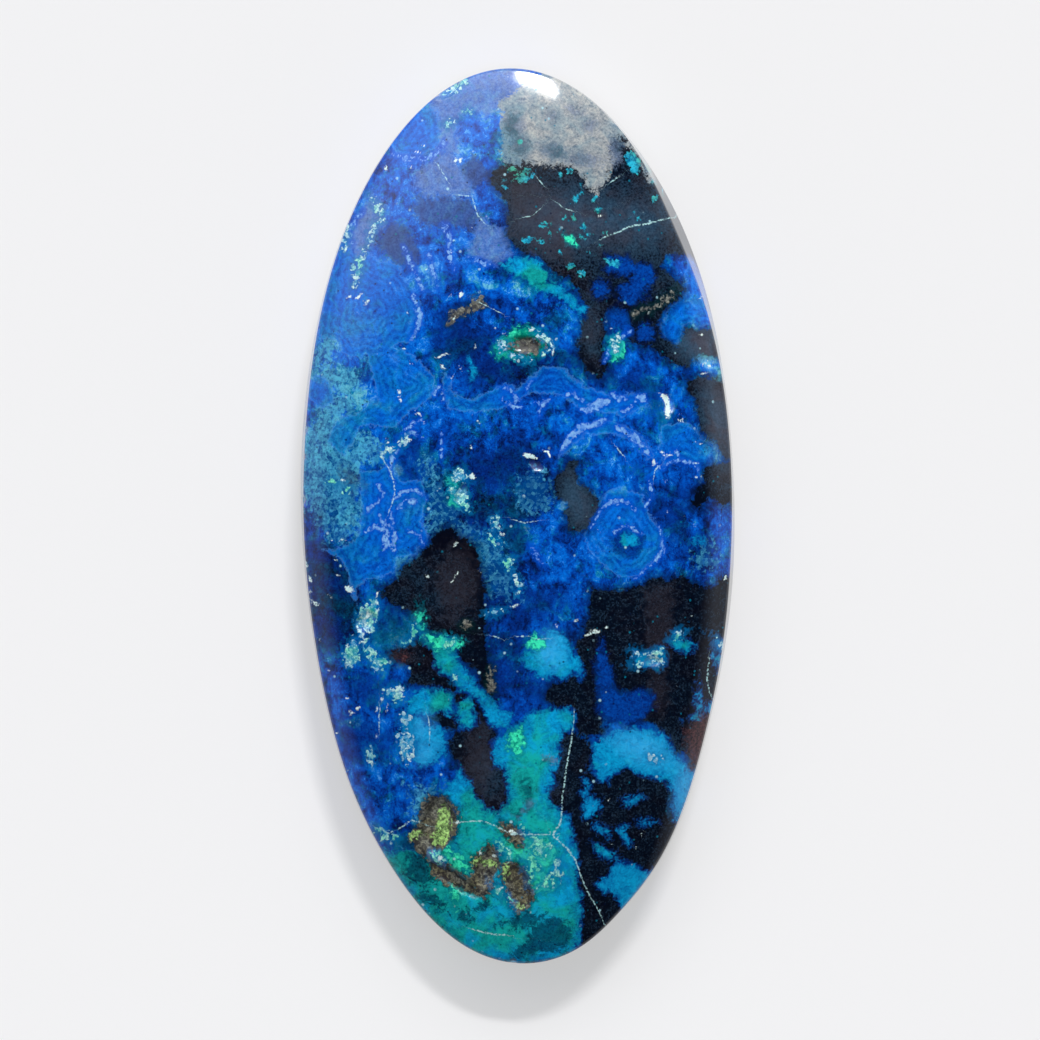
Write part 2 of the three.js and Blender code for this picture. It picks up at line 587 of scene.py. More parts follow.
def dots(*spots: tuple[float, float, float]) -> tuple[Blot, ...]:
    """Returns small oval spots that lie all ways, each given as x, y and size."""
    longer, narrower, turn_each_mm = 1.1, 0.55, 40
    return tuple(Blot(x, y, size * longer, size * narrower, turn_each_mm * x) for x, y, size in spots)


@dataclass(frozen=True)
class Wash(Oval):
    """A soft-edged cloud that shifts a shade by an amount."""

    amount: float

    def value(self, places: Array) -> Array:
        """Returns the cloud's strength at each place."""
        along, across = self.shares(places)
        return self.amount * np.exp(-(along**2 + across**2))


MARKINGS: dict[Mineral, tuple[Shape, ...]] = {
    Mineral.NAVY: (
        Patch((-4.4, 9.4), (-3.6, 10.4), (-2.6, 10.9), (-2.4, 10.0), (-2.5, 9.2), (-1.6, 9.4), (-0.9, 9.0),
              (-1.0, 8.2), (0.0, 7.9), (1.0, 7.9), (2.6, 8.4), (3.4, 7.8), (2.6, 7.7), (1.4, 7.7),
              (0.4, 7.4), (-0.4, 7.0), (-1.6, 7.2), (-2.6, 6.9), (-3.2, 7.6), (-4.0, 8.3)),
        Patch((-1.9, 3.2), (-0.6, 3.4), (0.6, 3.6), (1.2, 2.9), (1.0, 1.8), (0.0, 1.6), (-1.2, 1.2),
              (-2.6, 1.6), (-2.9, 2.4)),
        Patch((-5.9, 3.7), (-5.0, 3.9), (-4.6, 3.0), (-4.5, 2.2), (-5.2, 1.9), (-6.1, 2.0), (-6.4, 2.8)),
        Patch((-1.7, 0.6), (-0.6, 0.9), (0.2, 0.4), (0.6, -0.6), (0.1, -1.7), (-0.7, -1.4), (-1.0, -0.6),
              (-2.4, -0.3), (-2.6, 0.3)),
        Patch((3.2, 8.2), (4.4, 8.2), (4.8, 7.4), (5.6, 7.1), (6.9, 7.1), (7.3, 6.4), (7.5, 5.4),
              (8.0, 4.6), (7.4, 4.9), (6.9, 5.4), (6.6, 6.2), (5.0, 6.6), (3.6, 6.9)),
        Patch((-10.9, -1.2), (-9.8, -1.4), (-9.4, -2.6), (-8.6, -3.4), (-8.5, -5.0), (-8.9, -6.6),
              (-10.2, -6.8), (-10.6, -4.8)),
        Patch((-7.2, -4.4), (-6.4, -4.6), (-5.4, -4.9), (-5.0, -5.6), (-5.4, -6.4), (-6.2, -6.8),
              (-7.2, -6.4), (-7.5, -5.6)),
        Patch((-8.2, -8.1), (-7.2, -8.2), (-6.8, -9.0), (-7.2, -9.8), (-7.9, -9.4), (-8.5, -8.8)),
        Patch((-8.6, -10.2), (-7.4, -10.6), (-6.6, -11.2), (-6.8, -12.6), (-8.0, -12.7), (-8.9, -12.2),
              (-9.2, -11)),
        Patch((-7.2, -16.2), (-6.4, -16.7), (-5.7, -16.4), (-5.8, -17.1), (-6.8, -17.2)),
        Blot(-6.3, 14.0, 1.0, 0.6, -60), Blot(6.9, 0.3, 0.5, 1.4, 20), Blot(8.2, -0.2, 0.5, 1.2, 0),
        Blot(0.6, -4.6, 1.6, 0.7, 10), Blot(5.4, -2.1, 0.3, 0.35), Blot(-8.0, 7.1, 0.3, 0.2),
        Patch((4.2, -6.6), (4.7, -7.6), (5.0, -8.6), (6.9, -8.9), (7.2, -9.8), (6.6, -10.4), (5.6, -10.8),
              (4.6, -10.2), (4.1, -9.0), (4.0, -7.6)),
        Patch((0.0, -8.2), (1.4, -8.4), (2.2, -8.9), (1.7, -9.8), (0.9, -9.3), (-0.2, -9.0)),
        Patch((-2.8, -7.2), (-1.4, -6.8), (-0.2, -5.2), (0.2, -6.4), (-0.3, -8.8), (-1.0, -9.4),
              (-1.9, -8.8), (-2.8, -7.9)),
    ),
    Mineral.MOTTLE: (
        Patch((-11.2, 4.3), (-10.2, 4.8), (-9.9, 5.9), (-9.0, 6.4), (-7.9, 5.9), (-8.3, 5.4), (-9.2, 4.9),
              (-9.5, 4.0), (-9.0, 3.2), (-8.4, 4.2), (-7.4, 4.0), (-6.8, 3.6), (-7.0, 2.9), (-8.1, 2.6),
              (-8.2, 1.2), (-7.9, 0.4), (-8.2, -0.8), (-9.0, -1.4), (-9.8, -1.3), (-10.2, -0.2),
              (-11.2, 0.8)),
        Patch((-10.6, 8.4), (-9.8, 9.2), (-9.4, 8.6), (-9.6, 7.6), (-8.3, 7.3), (-8.0, 6.6), (-9.2, 6.5),
              (-10.0, 6.9)),
        Patch((-4.7, 2.8), (-4.0, 2.4), (-3.7, 1.5), (-3.0, 0.7), (-2.8, -0.2), (-1.8, -0.9), (-1.8, -1.5),
              (-3.0, -1.2), (-3.9, -0.6), (-4.4, -1.0), (-4.8, -0.4), (-4.4, 0.8), (-4.7, 1.7)),
        Patch((-1.9, -0.9), (-1.2, -0.4), (-0.8, -1.2), (-0.6, -2.2), (0.0, -3.2), (0.0, -4.2),
              (-1.3, -4.2), (-1.8, -3.2), (-1.9, -2.0)),
        Blot(-5.4, 0.55, 0.7, 0.5, 10), Blot(-8.0, 9.8, 0.85, 0.7), Blot(-8.0, 8.8, 0.5, 0.4),
        Patch((0.2, 2.0), (1.4, 2.4), (1.8, 1.4), (1.6, 0.4), (0.9, 0.0), (0.0, 0.6)),
        Patch((-6.2, -2.1), (-5.0, -1.9), (-4.4, -1.4), (-5.0, -2.3), (-5.8, -2.6), (-5.9, -4.0),
              (-6.4, -3.0)),
        Patch((-5.6, -13.9), (-4.6, -14.0), (-3.9, -14.2), (-4.4, -15.0), (-4.9, -16.0), (-5.3, -15.4)),
        Patch((9.0, -2.0), (9.8, -1.2), (10.2, -1.8), (10.1, -2.6), (9.2, -2.8)),
        Patch((-5.9, -17.3), (-4.7, -17.5), (-4.4, -18.7), (-2.9, -19.3), (-2.6, -20.4), (-4.6, -20.0),
              (-5.6, -18.9)),
        Patch((0.6, -19.8), (1.6, -20.4), (1.8, -21.6), (2.6, -22.2), (1.4, -22.7), (-0.4, -22.6),
              (0.2, -21.2)),
    ),
    Mineral.PALE: (
        Patch((-6.5, 19.1), (-5.8, 20.3), (-5.0, 21.0), (-4.2, 21.0), (-4.0, 20.2), (-3.9, 19.1),
              (-4.8, 18.6), (-5.9, 18.6)),
        Patch((-9.4, 14.4), (-8.6, 14.1), (-7.4, 13.3), (-6.2, 12.9), (-5.6, 12.0), (-5.0, 10.9),
              (-5.0, 9.7), (-5.6, 8.9), (-6.2, 9.0), (-6.6, 8.4), (-7.6, 8.3), (-8.6, 8.0), (-9.2, 8.9),
              (-10.3, 9.2)),
        Patch((-7.9, 8.6), (-6.8, 8.9), (-5.4, 8.2), (-4.2, 7.2), (-4.3, 6.2), (-5.4, 5.4), (-6.4, 4.6),
              (-7.9, 4.6), (-9.0, 3.1), (-9.8, 3.8), (-9.4, 4.8), (-8.2, 5.4), (-7.2, 6.2)),
        Patch((-11.0, 6.2), (-10.3, 7.2), (-9.6, 6.8), (-9.5, 5.9), (-10.2, 5.5)),
        Patch((3.6, -0.2), (4.4, 1.1), (5.2, 1.4), (6.3, 1.1), (6.9, 0.0), (7.4, -0.8), (7.5, -1.7),
              (6.9, -2.5), (6.2, -3.0), (5.2, -3.2), (4.4, -2.4), (3.6, -1.7), (3.4, -0.9)),
        Patch((2.1, 3.0), (2.5, 3.9), (3.3, 4.7), (4.6, 4.9), (5.8, 4.6), (6.7, 3.8), (7.1, 3.0),
              (6.7, 2.9), (6.1, 3.7), (5.4, 4.1), (4.6, 4.2), (3.5, 4.2), (2.6, 3.4)),
        Patch((-3.9, 7.4), (-3.2, 7.0), (-3.4, 6.4), (-2.2, 6.0), (-0.6, 6.9), (0.0, 6.6), (1.2, 7.6),
              (2.4, 7.6), (3.4, 6.6), (4.8, 6.2), (6.4, 6.3), (6.7, 5.6), (5.4, 5.2), (4.2, 5.3),
              (3.2, 5.4), (2.2, 6.2), (0.8, 6.4), (-0.6, 5.6), (-2.0, 5.3), (-3.6, 5.6)),
        Patch((7.4, 4.6), (8.4, 4.8), (9.3, 4.3), (10.2, 3.4), (10.0, 2.7), (9.4, 1.7), (9.2, 2.6),
              (8.4, 2.9), (7.6, 2.6), (7.2, 3.4)),
        Patch((-8.1, 2.4), (-7.2, 2.3), (-6.6, 2.6), (-6.0, 1.8), (-4.8, 1.8), (-4.6, 1.0), (-5.0, -0.2),
              (-4.5, -1.0), (-5.2, -1.9), (-6.2, -2.1), (-6.3, -2.9), (-7.2, -3.2), (-8.3, -3.6),
              (-8.3, -4.8), (-8.9, -2.2), (-10.0, -1.8), (-8.4, -1.4), (-7.9, -0.2)),
        Patch((8.7, 13.4), (9.3, 12.6), (9.9, 10.8), (10.2, 9.8), (9.4, 9.8), (8.6, 9.9), (8.4, 8.9),
              (7.7, 8.8), (7.4, 9.6), (7.9, 10.8), (8.6, 11.6)),
    ),
    # These patches near the top end are partly purple-grey stone and partly painted reflection, the pale veil
    # of the bright far side.
    Mineral.LILAC: (
        Patch((-4.6, 21.4), (-2.9, 23.6), (0.4, 23.6), (1.2, 22.3), (-0.4, 20.9), (-1.6, 20.4),
              (-2.4, 20.9), (-3.2, 20.2), (-3.0, 18.6), (-3.9, 18.6), (-4.0, 20.4)),
        Patch((-4.0, 19.0), (-3.4, 18.6), (-3.1, 18.1), (-2.5, 17.5), (-2.3, 17.0), (-2.2, 16.5),
              (-3.4, 16.3), (-4.8, 16.5), (-5.3, 16.8), (-5.2, 17.6), (-4.2, 18.5)),
        Patch((-2.1, 15.5), (-1.3, 15.0), (-0.6, 14.6), (-0.3, 13.4), (-1.0, 12.9), (-1.9, 13.1),
              (-2.5, 13.4), (-2.3, 14.2)),
        Patch((-7.5, 16.6), (-6.9, 15.9), (-6.9, 15.2), (-7.3, 14.6), (-7.4, 13.8), (-8.2, 13.4),
              (-8.8, 14.2)),
    ),
    Mineral.SLATE: (
        Patch((-5.3, 16.5), (-3.4, 16.3), (-2.3, 16.2), (-2.0, 15.2), (-2.2, 14.4), (-3.2, 14.8),
              (-4.6, 14.9), (-5.4, 15.3)),
        Patch((-7.0, 14.6), (-6.2, 15.0), (-5.4, 14.6), (-5.0, 13.6), (-5.3, 12.7), (-6.2, 13.0),
              (-6.9, 13.7)),
        Patch((-2.3, 18.5), (-1.2, 17.6), (-2.2, 16.8), (-3.0, 17.8)),
    ),
    Mineral.TENORITE: (
        Patch((0.6, 20.8), (0.3, 19.3), (-0.5, 18.1), (-1.3, 17.6), (-1.2, 17.0), (-0.9, 16.5),
              (-0.6, 16.2), (-0.55, 15.0), (-0.5, 14.2), (0.2, 13.5), (1.1, 13.3), (1.5, 12.9), (1.9, 12.5),
              (2.6, 12.2), (3.1, 11.8), (3.4, 11.0), (3.6, 10.5), (3.3, 9.3), (3.1, 8.6), (3.2, 8.1),
              (3.6, 7.3), (4.2, 7.0), (4.6, 7.6), (4.5, 8.3), (4.4, 9.9), (4.6, 10.4), (5.2, 10.7),
              (5.6, 10.4), (5.9, 9.7), (5.5, 9.2), (6.0, 8.9), (6.9, 8.6), (7.6, 8.2), (8.2, 7.7),
              (8.7, 7.7), (9.1, 8.2), (9.6, 8.4), (10.3, 8.2), (10.2, 8.9), (10.1, 9.6), (9.2, 9.5),
              (8.7, 9.6), (8.5, 9.0), (8.2, 8.7), (7.7, 8.9), (7.4, 9.4), (7.3, 9.9), (7.6, 10.5),
              (8.0, 11.0), (8.3, 11.3), (8.5, 11.9), (7.9, 12.3), (7.5, 12.8), (7.8, 13.5), (9.9, 13.6),
              (9.3, 15.4), (8.1, 17.6), (6.5, 20.0), (4.5, 22.2), (2.4, 23.4), (1.8, 22.0)),
        Patch((8.7, 6.9), (9.5, 7.1), (10.6, 7.1), (11.0, 5.0), (11.3, 3.0), (10.6, 2.9), (10.3, 3.6),
              (9.9, 3.9), (9.5, 4.3), (9.3, 5.0), (9.3, 5.6), (9.2, 6.1), (8.8, 6.3)),
        Patch((9.6, 2.4), (10.1, 2.7), (11.2, 2.9), (11.3, 0.5), (10.4, 0.6), (9.9, 0.9), (9.4, 0.4),
              (8.9, 0.6), (9.2, 1.3), (9.7, 1.6)),
        Patch((2.4, 2.2), (2.7, 2.8), (3.0, 2.9), (3.1, 1.7), (3.7, 1.4), (4.0, 0.9), (4.1, 0.3),
              (3.5, -0.7), (3.0, -0.9), (2.5, -0.5), (2.5, 0.2), (2.7, 0.8), (2.0, 1.0), (1.9, 1.6),
              (2.0, 1.9)),
        Patch((-6.9, -3.7), (-6.2, -3.3), (-5.9, -2.6), (-5.3, -2.2), (-4.6, -1.6), (-4.1, -1.0),
              (-3.5, -0.7), (-3.0, -1.1), (-2.3, -1.4), (-2.0, -1.9), (-1.9, -2.6), (-1.8, -3.4),
              (-1.6, -4.3), (-1.5, -4.9), (-1.8, -5.8), (-1.7, -6.5), (-1.6, -7.2), (-1.4, -8.0),
              (-1.4, -8.9), (-1.1, -9.6), (-1.7, -9.0), (-2.0, -8.3), (-2.2, -7.7), (-2.9, -7.5),
              (-2.9, -6.4), (-3.5, -6.1), (-4.2, -6.0), (-4.7, -5.7), (-5.0, -5.2), (-5.5, -4.9),
              (-6.3, -4.6), (-6.9, -4.2)),
        Patch((-6.7, -7.0), (-6.0, -6.8), (-5.0, -6.4), (-4.4, -6.9), (-4.1, -7.6), (-3.8, -8.2),
              (-3.2, -8.6), (-3.1, -9.2), (-4.3, -8.9), (-5.0, -8.7), (-5.6, -8.6), (-5.4, -7.9),
              (-5.9, -7.4), (-6.5, -7.4)),
        Patch((-4.5, -10.4), (-4.0, -10.0), (-3.4, -10.2), (-2.9, -10.4), (-3.1, -10.9), (-3.8, -10.9)),
        Patch((-3.6, -11.6), (-3.4, -12.3), (-2.8, -12.9), (-2.6, -13.6), (-2.3, -14.3), (-1.9, -14.6),
              (-1.7, -15.2), (-1.3, -15.4), (-0.7, -15.2), (-0.5, -14.3), (-0.4, -13.4), (-0.6, -12.9),
              (-1.1, -12.9), (-1.3, -12.2), (-1.5, -11.6), (-1.1, -11.2), (-1.5, -10.6), (-1.9, -10.0),
              (-2.3, -9.4), (-2.6, -9.2), (-3.1, -9.0), (-3.2, -9.6), (-2.4, -10.0), (-2.1, -10.6),
              (-2.4, -11.1), (-3.2, -11.1)),
        Patch((3.8, -3.7), (4.8, -3.9), (5.6, -3.8), (6.4, -3.6), (7.0, -3.2), (7.6, -3.3), (8.4, -3.2),
              (9.4, -3.7), (10.1, -3.6), (10.3, -3.2), (11.2, -3.1), (10.9, -6.2), (10.5, -8.8),
              (9.9, -11.2), (9.4, -13.0), (8.8, -13.0), (8.6, -12.1), (8.0, -12.3), (8.1, -11.7),
              (7.7, -11.3), (7.2, -11.0), (6.9, -10.6), (6.2, -10.4), (5.9, -10.6), (6.9, -9.9),
              (6.9, -8.9), (5.2, -9.0), (4.8, -8.2), (4.4, -7.0), (4.0, -7.6), (4.1, -9.2), (4.4, -11.0),
              (3.6, -11.3), (2.9, -11.4), (3.1, -10.4), (3.0, -9.8), (2.0, -9.8), (1.5, -9.3), (1.7, -8.7),
              (2.4, -8.5), (2.7, -8.1), (3.1, -8.6), (3.5, -8.4), (3.2, -7.3), (3.0, -6.7), (3.2, -6.0),
              (3.7, -5.3), (3.7, -4.4)),
        Patch((5.0, -13.4), (5.4, -12.9), (6.2, -13.2), (6.8, -13.5), (7.7, -13.6), (8.0, -13.9),
              (8.05, -15.2), (8.3, -16.0), (7.9, -17.2), (7.1, -18.3), (6.0, -18.0), (5.5, -17.7),
              (5.0, -17.9), (4.6, -18.4), (4.3, -18.8), (4.1, -19.3), (5.0, -19.4), (5.4, -19.9),
              (5.3, -20.6), (4.3, -21.4), (3.5, -22.2), (3.1, -21.9), (3.3, -21.2), (3.25, -20.3),
              (3.3, -19.4), (3.0, -19.0), (3.1, -18.2), (2.95, -17.5), (3.0, -16.6), (2.9, -16.1),
              (2.5, -15.3), (1.9, -15.1), (1.6, -14.5), (1.5, -14.0), (2.0, -13.8), (2.1, -13.3),
              (1.7, -13.2), (2.1, -12.8), (2.1, -11.6), (2.4, -11.0), (2.9, -11.3), (3.6, -11.6),
              (3.9, -12.1), (3.9, -12.6), (3.6, -12.9), (3.5, -13.1), (4.2, -13.5), (4.5, -13.7)),
        Blot(-2.6, -20.6, 0.45, 0.22, -20), Blot(-4.7, -19.9, 0.5, 0.2, -30),
        Blot(-0.9, -21.6, 0.3, 0.12, 20), Blot(1.9, -7.6, 0.28, 0.14, 40), Blot(2.55, -6.35, 0.1, 0.14),
        Blot(2.55, -7.3, 0.1, 0.12), Blot(4.35, -12.5, 0.22, 0.14, 30), Blot(4.8, -12.3, 0.12, 0.26),
        Blot(4.5, -11.8, 0.2, 0.15), Blot(-2.1, -16.2, 0.12, 0.3), Blot(2.9, -7.8, 0.08, 0.3),
        Blot(-1.4, -16.0, 0.1, 0.16),
    ),
    Mineral.UMBER: (
        Blot(-8.5, 1.9, 0.6, 0.4, -50),
        Patch((6.5, -3.8), (7.9, -3.6), (8.0, -6.4), (7.6, -7.6), (7.6, -10.2), (6.9, -10.2), (6.8, -8.4),
              (6.6, -6.6)),
        Patch((-0.4, 17.2), (1.0, 17.2), (2.6, 16.0), (2.6, 14.0), (3.0, 12.6), (2.0, 13.0), (0.8, 13.6),
              (-0.3, 14.4)),
        Blot(-6.0, -7.2, 0.5, 0.35), Blot(-3.0, -3.4, 1.0, 1.8), Blot(-2.0, -12.4, 0.8, 1.8),
    ),
    Mineral.CAP: (
        Patch((-0.9, 21.2), (0.4, 22.3), (2.4, 23.6), (4.6, 22.4), (6.6, 20.0), (7.6, 18.2), (6.9, 17.2),
              (6.0, 18.9), (5.4, 19.6), (4.9, 19.4), (4.6, 18.9), (4.7, 18.5), (5.1, 18.1), (4.7, 17.6),
              (4.4, 17.0), (4.1, 16.6), (3.6, 17.0), (3.3, 17.5), (2.8, 17.9), (2.0, 18.0), (0.8, 18.1),
              (-0.7, 18.2), (-0.9, 19.6)),
        Streak(0.2, (5.2, 19.3), (5.9, 19.0), (6.3, 18.3), (6.7, 17.2)),
    ),
    Mineral.ISLAND: (
        Patch((4.6, 13.3), (5.6, 13.3), (5.9, 13.0), (6.9, 12.8), (7.1, 12.3), (6.8, 11.9), (6.2, 11.6),
              (5.7, 11.9), (5.9, 12.4), (5.0, 12.4), (4.5, 12.6)),
        Blot(5.66, -1.31, 0.66, 0.62), Blot(5.9, 11.4, 0.65, 0.5), Blot(4.25, 11.6, 0.3, 0.4),
        Blot(6.6, 9.4, 0.45, 0.4), Blot(5.2, 9.7, 0.5, 0.8),
        Patch((4.2, -9.0), (4.9, -8.8), (5.4, -9.3), (6.2, -9.1), (6.9, -9.2), (7.0, -9.8), (6.3, -10.3),
              (5.4, -10.8), (4.7, -10.4), (4.2, -9.9)),
        Patch((4.3, -6.2), (4.6, -7.4), (4.9, -8.6), (4.3, -8.9), (4.1, -7.6)),
    ),
    Mineral.TURQUOISE: (
        Patch((-0.9, 13.0), (0.0, 13.2), (0.6, 13.3), (1.1, 13.2), (1.2, 12.9), (1.6, 12.6), (1.5, 12.0),
              (1.9, 11.9), (2.4, 11.7), (2.9, 11.2), (3.4, 10.7), (3.3, 10.2), (3.0, 10.7), (2.4, 11.0),
              (1.9, 11.3), (1.2, 11.5), (0.6, 11.9), (0.1, 12.3), (-0.5, 12.5)),
        Patch((0.8, -6.3), (1.6, -6.1), (1.4, -5.8), (2.3, -6.1), (2.7, -6.5), (2.9, -7.1), (3.4, -7.8),
              (3.3, -8.2), (2.8, -8.0), (2.4, -8.4), (1.8, -8.3), (1.3, -8.4), (0.8, -8.1), (0.4, -7.6),
              (0.2, -7.4), (0.6, -6.9)),
        Patch((4.8, -11.2), (5.4, -11.1), (6.1, -10.9), (6.9, -11.1), (7.6, -11.5), (8.0, -12.1),
              (8.2, -12.6), (8.9, -13.1), (9.3, -13.3), (9.0, -14.4), (8.3, -15.9), (8.0, -15.4),
              (8.0, -14.1), (7.8, -13.6), (6.9, -13.4), (6.1, -13.1), (5.5, -12.8), (4.9, -13.1),
              (4.7, -13.6), (4.3, -13.6), (4.0, -12.9), (3.7, -12.8), (4.0, -12.2), (4.0, -11.8),
              (4.4, -11.4)),
        Patch((0.1, -10.7), (0.6, -10.3), (1.3, -9.9), (2.0, -9.9), (2.7, -9.9), (3.0, -10.2), (2.9, -11.0),
              (2.3, -11.0), (2.1, -11.7), (2.1, -12.9), (1.7, -13.2), (2.0, -13.7), (1.5, -14.0),
              (1.7, -14.9), (2.4, -15.3), (2.9, -16.2), (3.0, -17.5), (3.0, -19.0), (3.3, -19.5),
              (3.2, -20.5), (3.1, -21.8), (2.6, -23.2), (-2.6, -23.2), (-5.4, -20.4), (-7.4, -17.2),
              (-6.0, -17.2), (-5.2, -17.3), (-4.5, -17.4), (-3.5, -16.8), (-3.1, -16.0), (-3.2, -15.0),
              (-3.9, -14.5), (-4.0, -14.1), (-3.4, -13.7), (-2.9, -13.2), (-2.6, -13.5), (-2.2, -14.4),
              (-1.7, -15.1), (-1.0, -15.4), (-0.5, -14.8), (-0.4, -13.5), (-0.7, -12.9), (-1.2, -12.8),
              (-1.3, -12.0), (-0.9, -11.4), (-0.4, -11.0)),
        Patch((-4.2, -6.1), (-3.6, -6.3), (-3.1, -6.9), (-3.0, -7.6), (-2.7, -8.0), (-2.3, -8.3),
              (-1.9, -8.8), (-1.4, -9.3), (-0.9, -9.9), (-0.2, -10.2), (-0.5, -10.9), (-1.1, -10.8),
              (-1.5, -10.4), (-1.8, -9.7), (-2.4, -9.1), (-2.9, -8.9), (-3.3, -8.3), (-3.9, -8.1),
              (-4.1, -7.6), (-4.2, -7.0), (-4.7, -6.6)),
        Patch((-4.8, -9.0), (-4.0, -9.0), (-3.5, -9.2), (-3.3, -9.7), (-3.5, -10.2), (-4.0, -9.9),
              (-4.5, -10.2), (-5.1, -10.3), (-5.7, -10.0), (-5.6, -9.5), (-5.2, -9.0)),
        Patch((-2.8, -9.6), (-2.4, -9.4), (-2.3, -10.0), (-2.2, -10.6), (-2.5, -11.0), (-2.9, -10.8),
              (-3.0, -10.2)),
        Patch((-5.9, -10.1), (-5.0, -10.4), (-4.6, -10.9), (-4.0, -10.9), (-3.7, -11.5), (-3.7, -12.2),
              (-4.4, -12.7), (-5.1, -12.8), (-5.4, -12.4), (-5.2, -11.7), (-5.8, -11.2)),
        Patch((4.2, -19.0), (4.7, -18.4), (5.1, -17.9), (5.8, -17.9), (6.6, -18.3), (7.3, -18.1),
              (6.7, -19.2), (5.9, -20.0), (5.5, -20.3), (5.2, -19.6), (4.8, -19.2), (4.5, -19.4)),
        Patch((3.3, -14.1), (3.6, -14.0), (3.6, -14.4), (4.2, -14.6), (4.3, -15.1), (3.9, -15.3),
              (3.5, -15.5), (3.4, -15.1), (3.5, -14.6)),
        Patch((3.3, -13.4), (3.5, -13.4), (3.7, -13.8), (3.5, -13.9)),
        Patch((5.1, -16.1), (5.6, -15.9), (5.5, -16.4), (5.9, -16.7), (5.7, -16.9), (5.3, -16.4)),
        Patch((7.9, -6.5), (8.1, -6.1), (8.6, -6.4), (8.9, -6.5), (9.1, -6.8), (8.8, -7.1), (8.5, -6.8),
              (8.1, -6.7)),
        Patch((6.1, -7.1), (6.7, -7.1), (7.1, -7.0), (7.4, -6.9), (7.5, -7.6), (7.1, -7.8), (6.6, -7.7),
              (6.1, -7.7)),
        Blot(4.3, -16.1, 0.3, 0.12, -40), Blot(5.9, -14.6, 0.25, 0.14, 20), Blot(6.6, -15.75, 0.2, 0.08),
        Blot(9.3, -9.4, 0.12, 0.35), Blot(9.9, -9.8, 0.3, 0.15, 20), Blot(9.2, -10.3, 0.25, 0.12, 10),
        Blot(10.4, -6.6, 0.25, 0.2), Blot(10.3, -7.3, 0.14, 0.3), Blot(4.5, -17.3, 0.5, 0.2, -30),
        Blot(9.35, -1.3, 0.3, 0.2), Blot(-2.4, 7.6, 0.15, 0.4), Blot(5.7, -1.25, 0.4, 0.34),
    ),
    Mineral.GLOW: (
        Blot(6.5, -12.0, 1.5, 0.62, -25), Blot(1.7, -6.9, 0.6, 0.8, 10), Blot(-4.8, -12.1, 0.6, 0.4, 30),
        Blot(-4.9, -10.9, 0.4, 0.7, -20), Blot(8.6, -13.9, 0.4, 1.0, -20),
    ),
    Mineral.MURK: (
        Blot(1.72, 20.6, 0.35, 0.28), Blot(3.8, 20.15, 0.4, 0.3, -30), Blot(2.96, 20.9, 0.3, 0.2),
        Blot(4.96, 18.8, 0.34, 0.65), Blot(3.3, 18.35, 0.9, 0.32, -8), Blot(-0.2, 20.1, 0.55, 0.6),
        Blot(0.1, 19.1, 0.5, 0.5), Blot(1.8, 18.75, 0.65, 0.38, -10), Blot(0.45, -14.2, 0.3, 0.8, 8),
        Blot(0.1, -15.3, 0.3, 0.2), Blot(1.6, -12.6, 0.3, 0.2),
    ),
    Mineral.DEEP: (
        Blot(-4.45, -19.8, 0.7, 0.3, -30), Blot(-2.7, -20.6, 0.5, 0.28, -20),
        Blot(-1.9, -20.1, 0.5, 0.2, 30), Blot(0.2, -20.8, 1.0, 0.35, 10),
        Patch((0.6, -21.0), (1.8, -20.6), (2.9, -21.0), (2.6, -22.2), (1.0, -22.7), (-0.4, -22.7),
              (0.4, -21.8)),
        Patch((-5.6, -17.4), (-4.6, -17.7), (-4.3, -18.8), (-5.0, -19.2), (-5.9, -18.4)),
    ),
    Mineral.EMERALD: (
        Patch((-1.2, 8.5), (-0.9, 9.1), (-0.2, 9.5), (0.7, 9.7), (1.4, 9.3), (1.6, 8.8), (1.2, 8.2),
              (0.5, 7.9), (-0.3, 8.0), (-0.9, 8.1)),
        Blot(5.05, 8.6, 0.4, 0.55), Blot(-3.1, 1.0, 0.45, 0.4), Blot(-3.2, 1.8, 0.3, 0.35),
        Patch((-4.7, -6.2), (-4.1, -6.1), (-3.4, -6.2), (-2.8, -6.5), (-3.0, -6.9), (-3.6, -6.8),
              (-4.2, -6.8)),
        Patch((-0.4, -11.2), (0.2, -10.9), (0.3, -11.6), (0.1, -12.3), (-0.4, -12.0)),
        Patch((0.1, -16.4), (1.0, -16.4), (1.8, -16.7), (1.5, -17.4), (1.0, -17.9), (1.2, -18.6),
              (2.0, -18.6), (1.8, -19.3), (1.0, -19.2), (0.6, -18.4), (0.4, -17.6), (0.0, -17.2)),
        Patch((-4.4, -17.3), (-3.7, -17.1), (-3.0, -17.6), (-2.4, -18.2), (-2.9, -18.2), (-3.6, -17.8)),
        Patch((-1.0, -16.8), (-0.5, -16.6), (0.0, -17.1), (-0.1, -17.6), (-0.6, -17.6), (-0.9, -17.2)),
        Blot(-0.8, -19.4, 0.45, 0.2, -50), Blot(-3.2, -19.4, 0.2, 0.5),
        Streak(0.2, (2.5, 14.35), (2.9, 14.0)), Blot(1.0, 9.2, 0.3, 0.2), Blot(-5.0, -5.4, 0.15, 0.4),
        Blot(0.9, -6.3, 0.15, 0.12), Blot(1.0, -6.5, 0.26, 0.2), Blot(1.1, -17.3, 0.9, 0.75, -20),
        Blot(1.0, -18.9, 0.85, 0.5),
    ),
    Mineral.CRUMB: (
        Patch((5.45, 18.6), (5.8, 18.7), (6.3, 18.3), (6.2, 17.7), (6.0, 17.3), (5.7, 17.9)),
        Blot(0.3, 17.4, 0.35, 0.2), Blot(2.6, 17.7, 0.2, 0.12), Blot(7.0, 16.3, 0.14, 0.12),
        Blot(2.95, 16.4, 0.16, 0.24), Blot(4.2, 15.8, 0.18, 0.15), Blot(4.0, 16.4, 0.14, 0.12),
        Blot(3.4, 14.4, 0.32, 0.12, 10), Blot(6.15, 15.3, 0.1, 0.1), Blot(0.5, 14.15, 0.3, 0.16, 10),
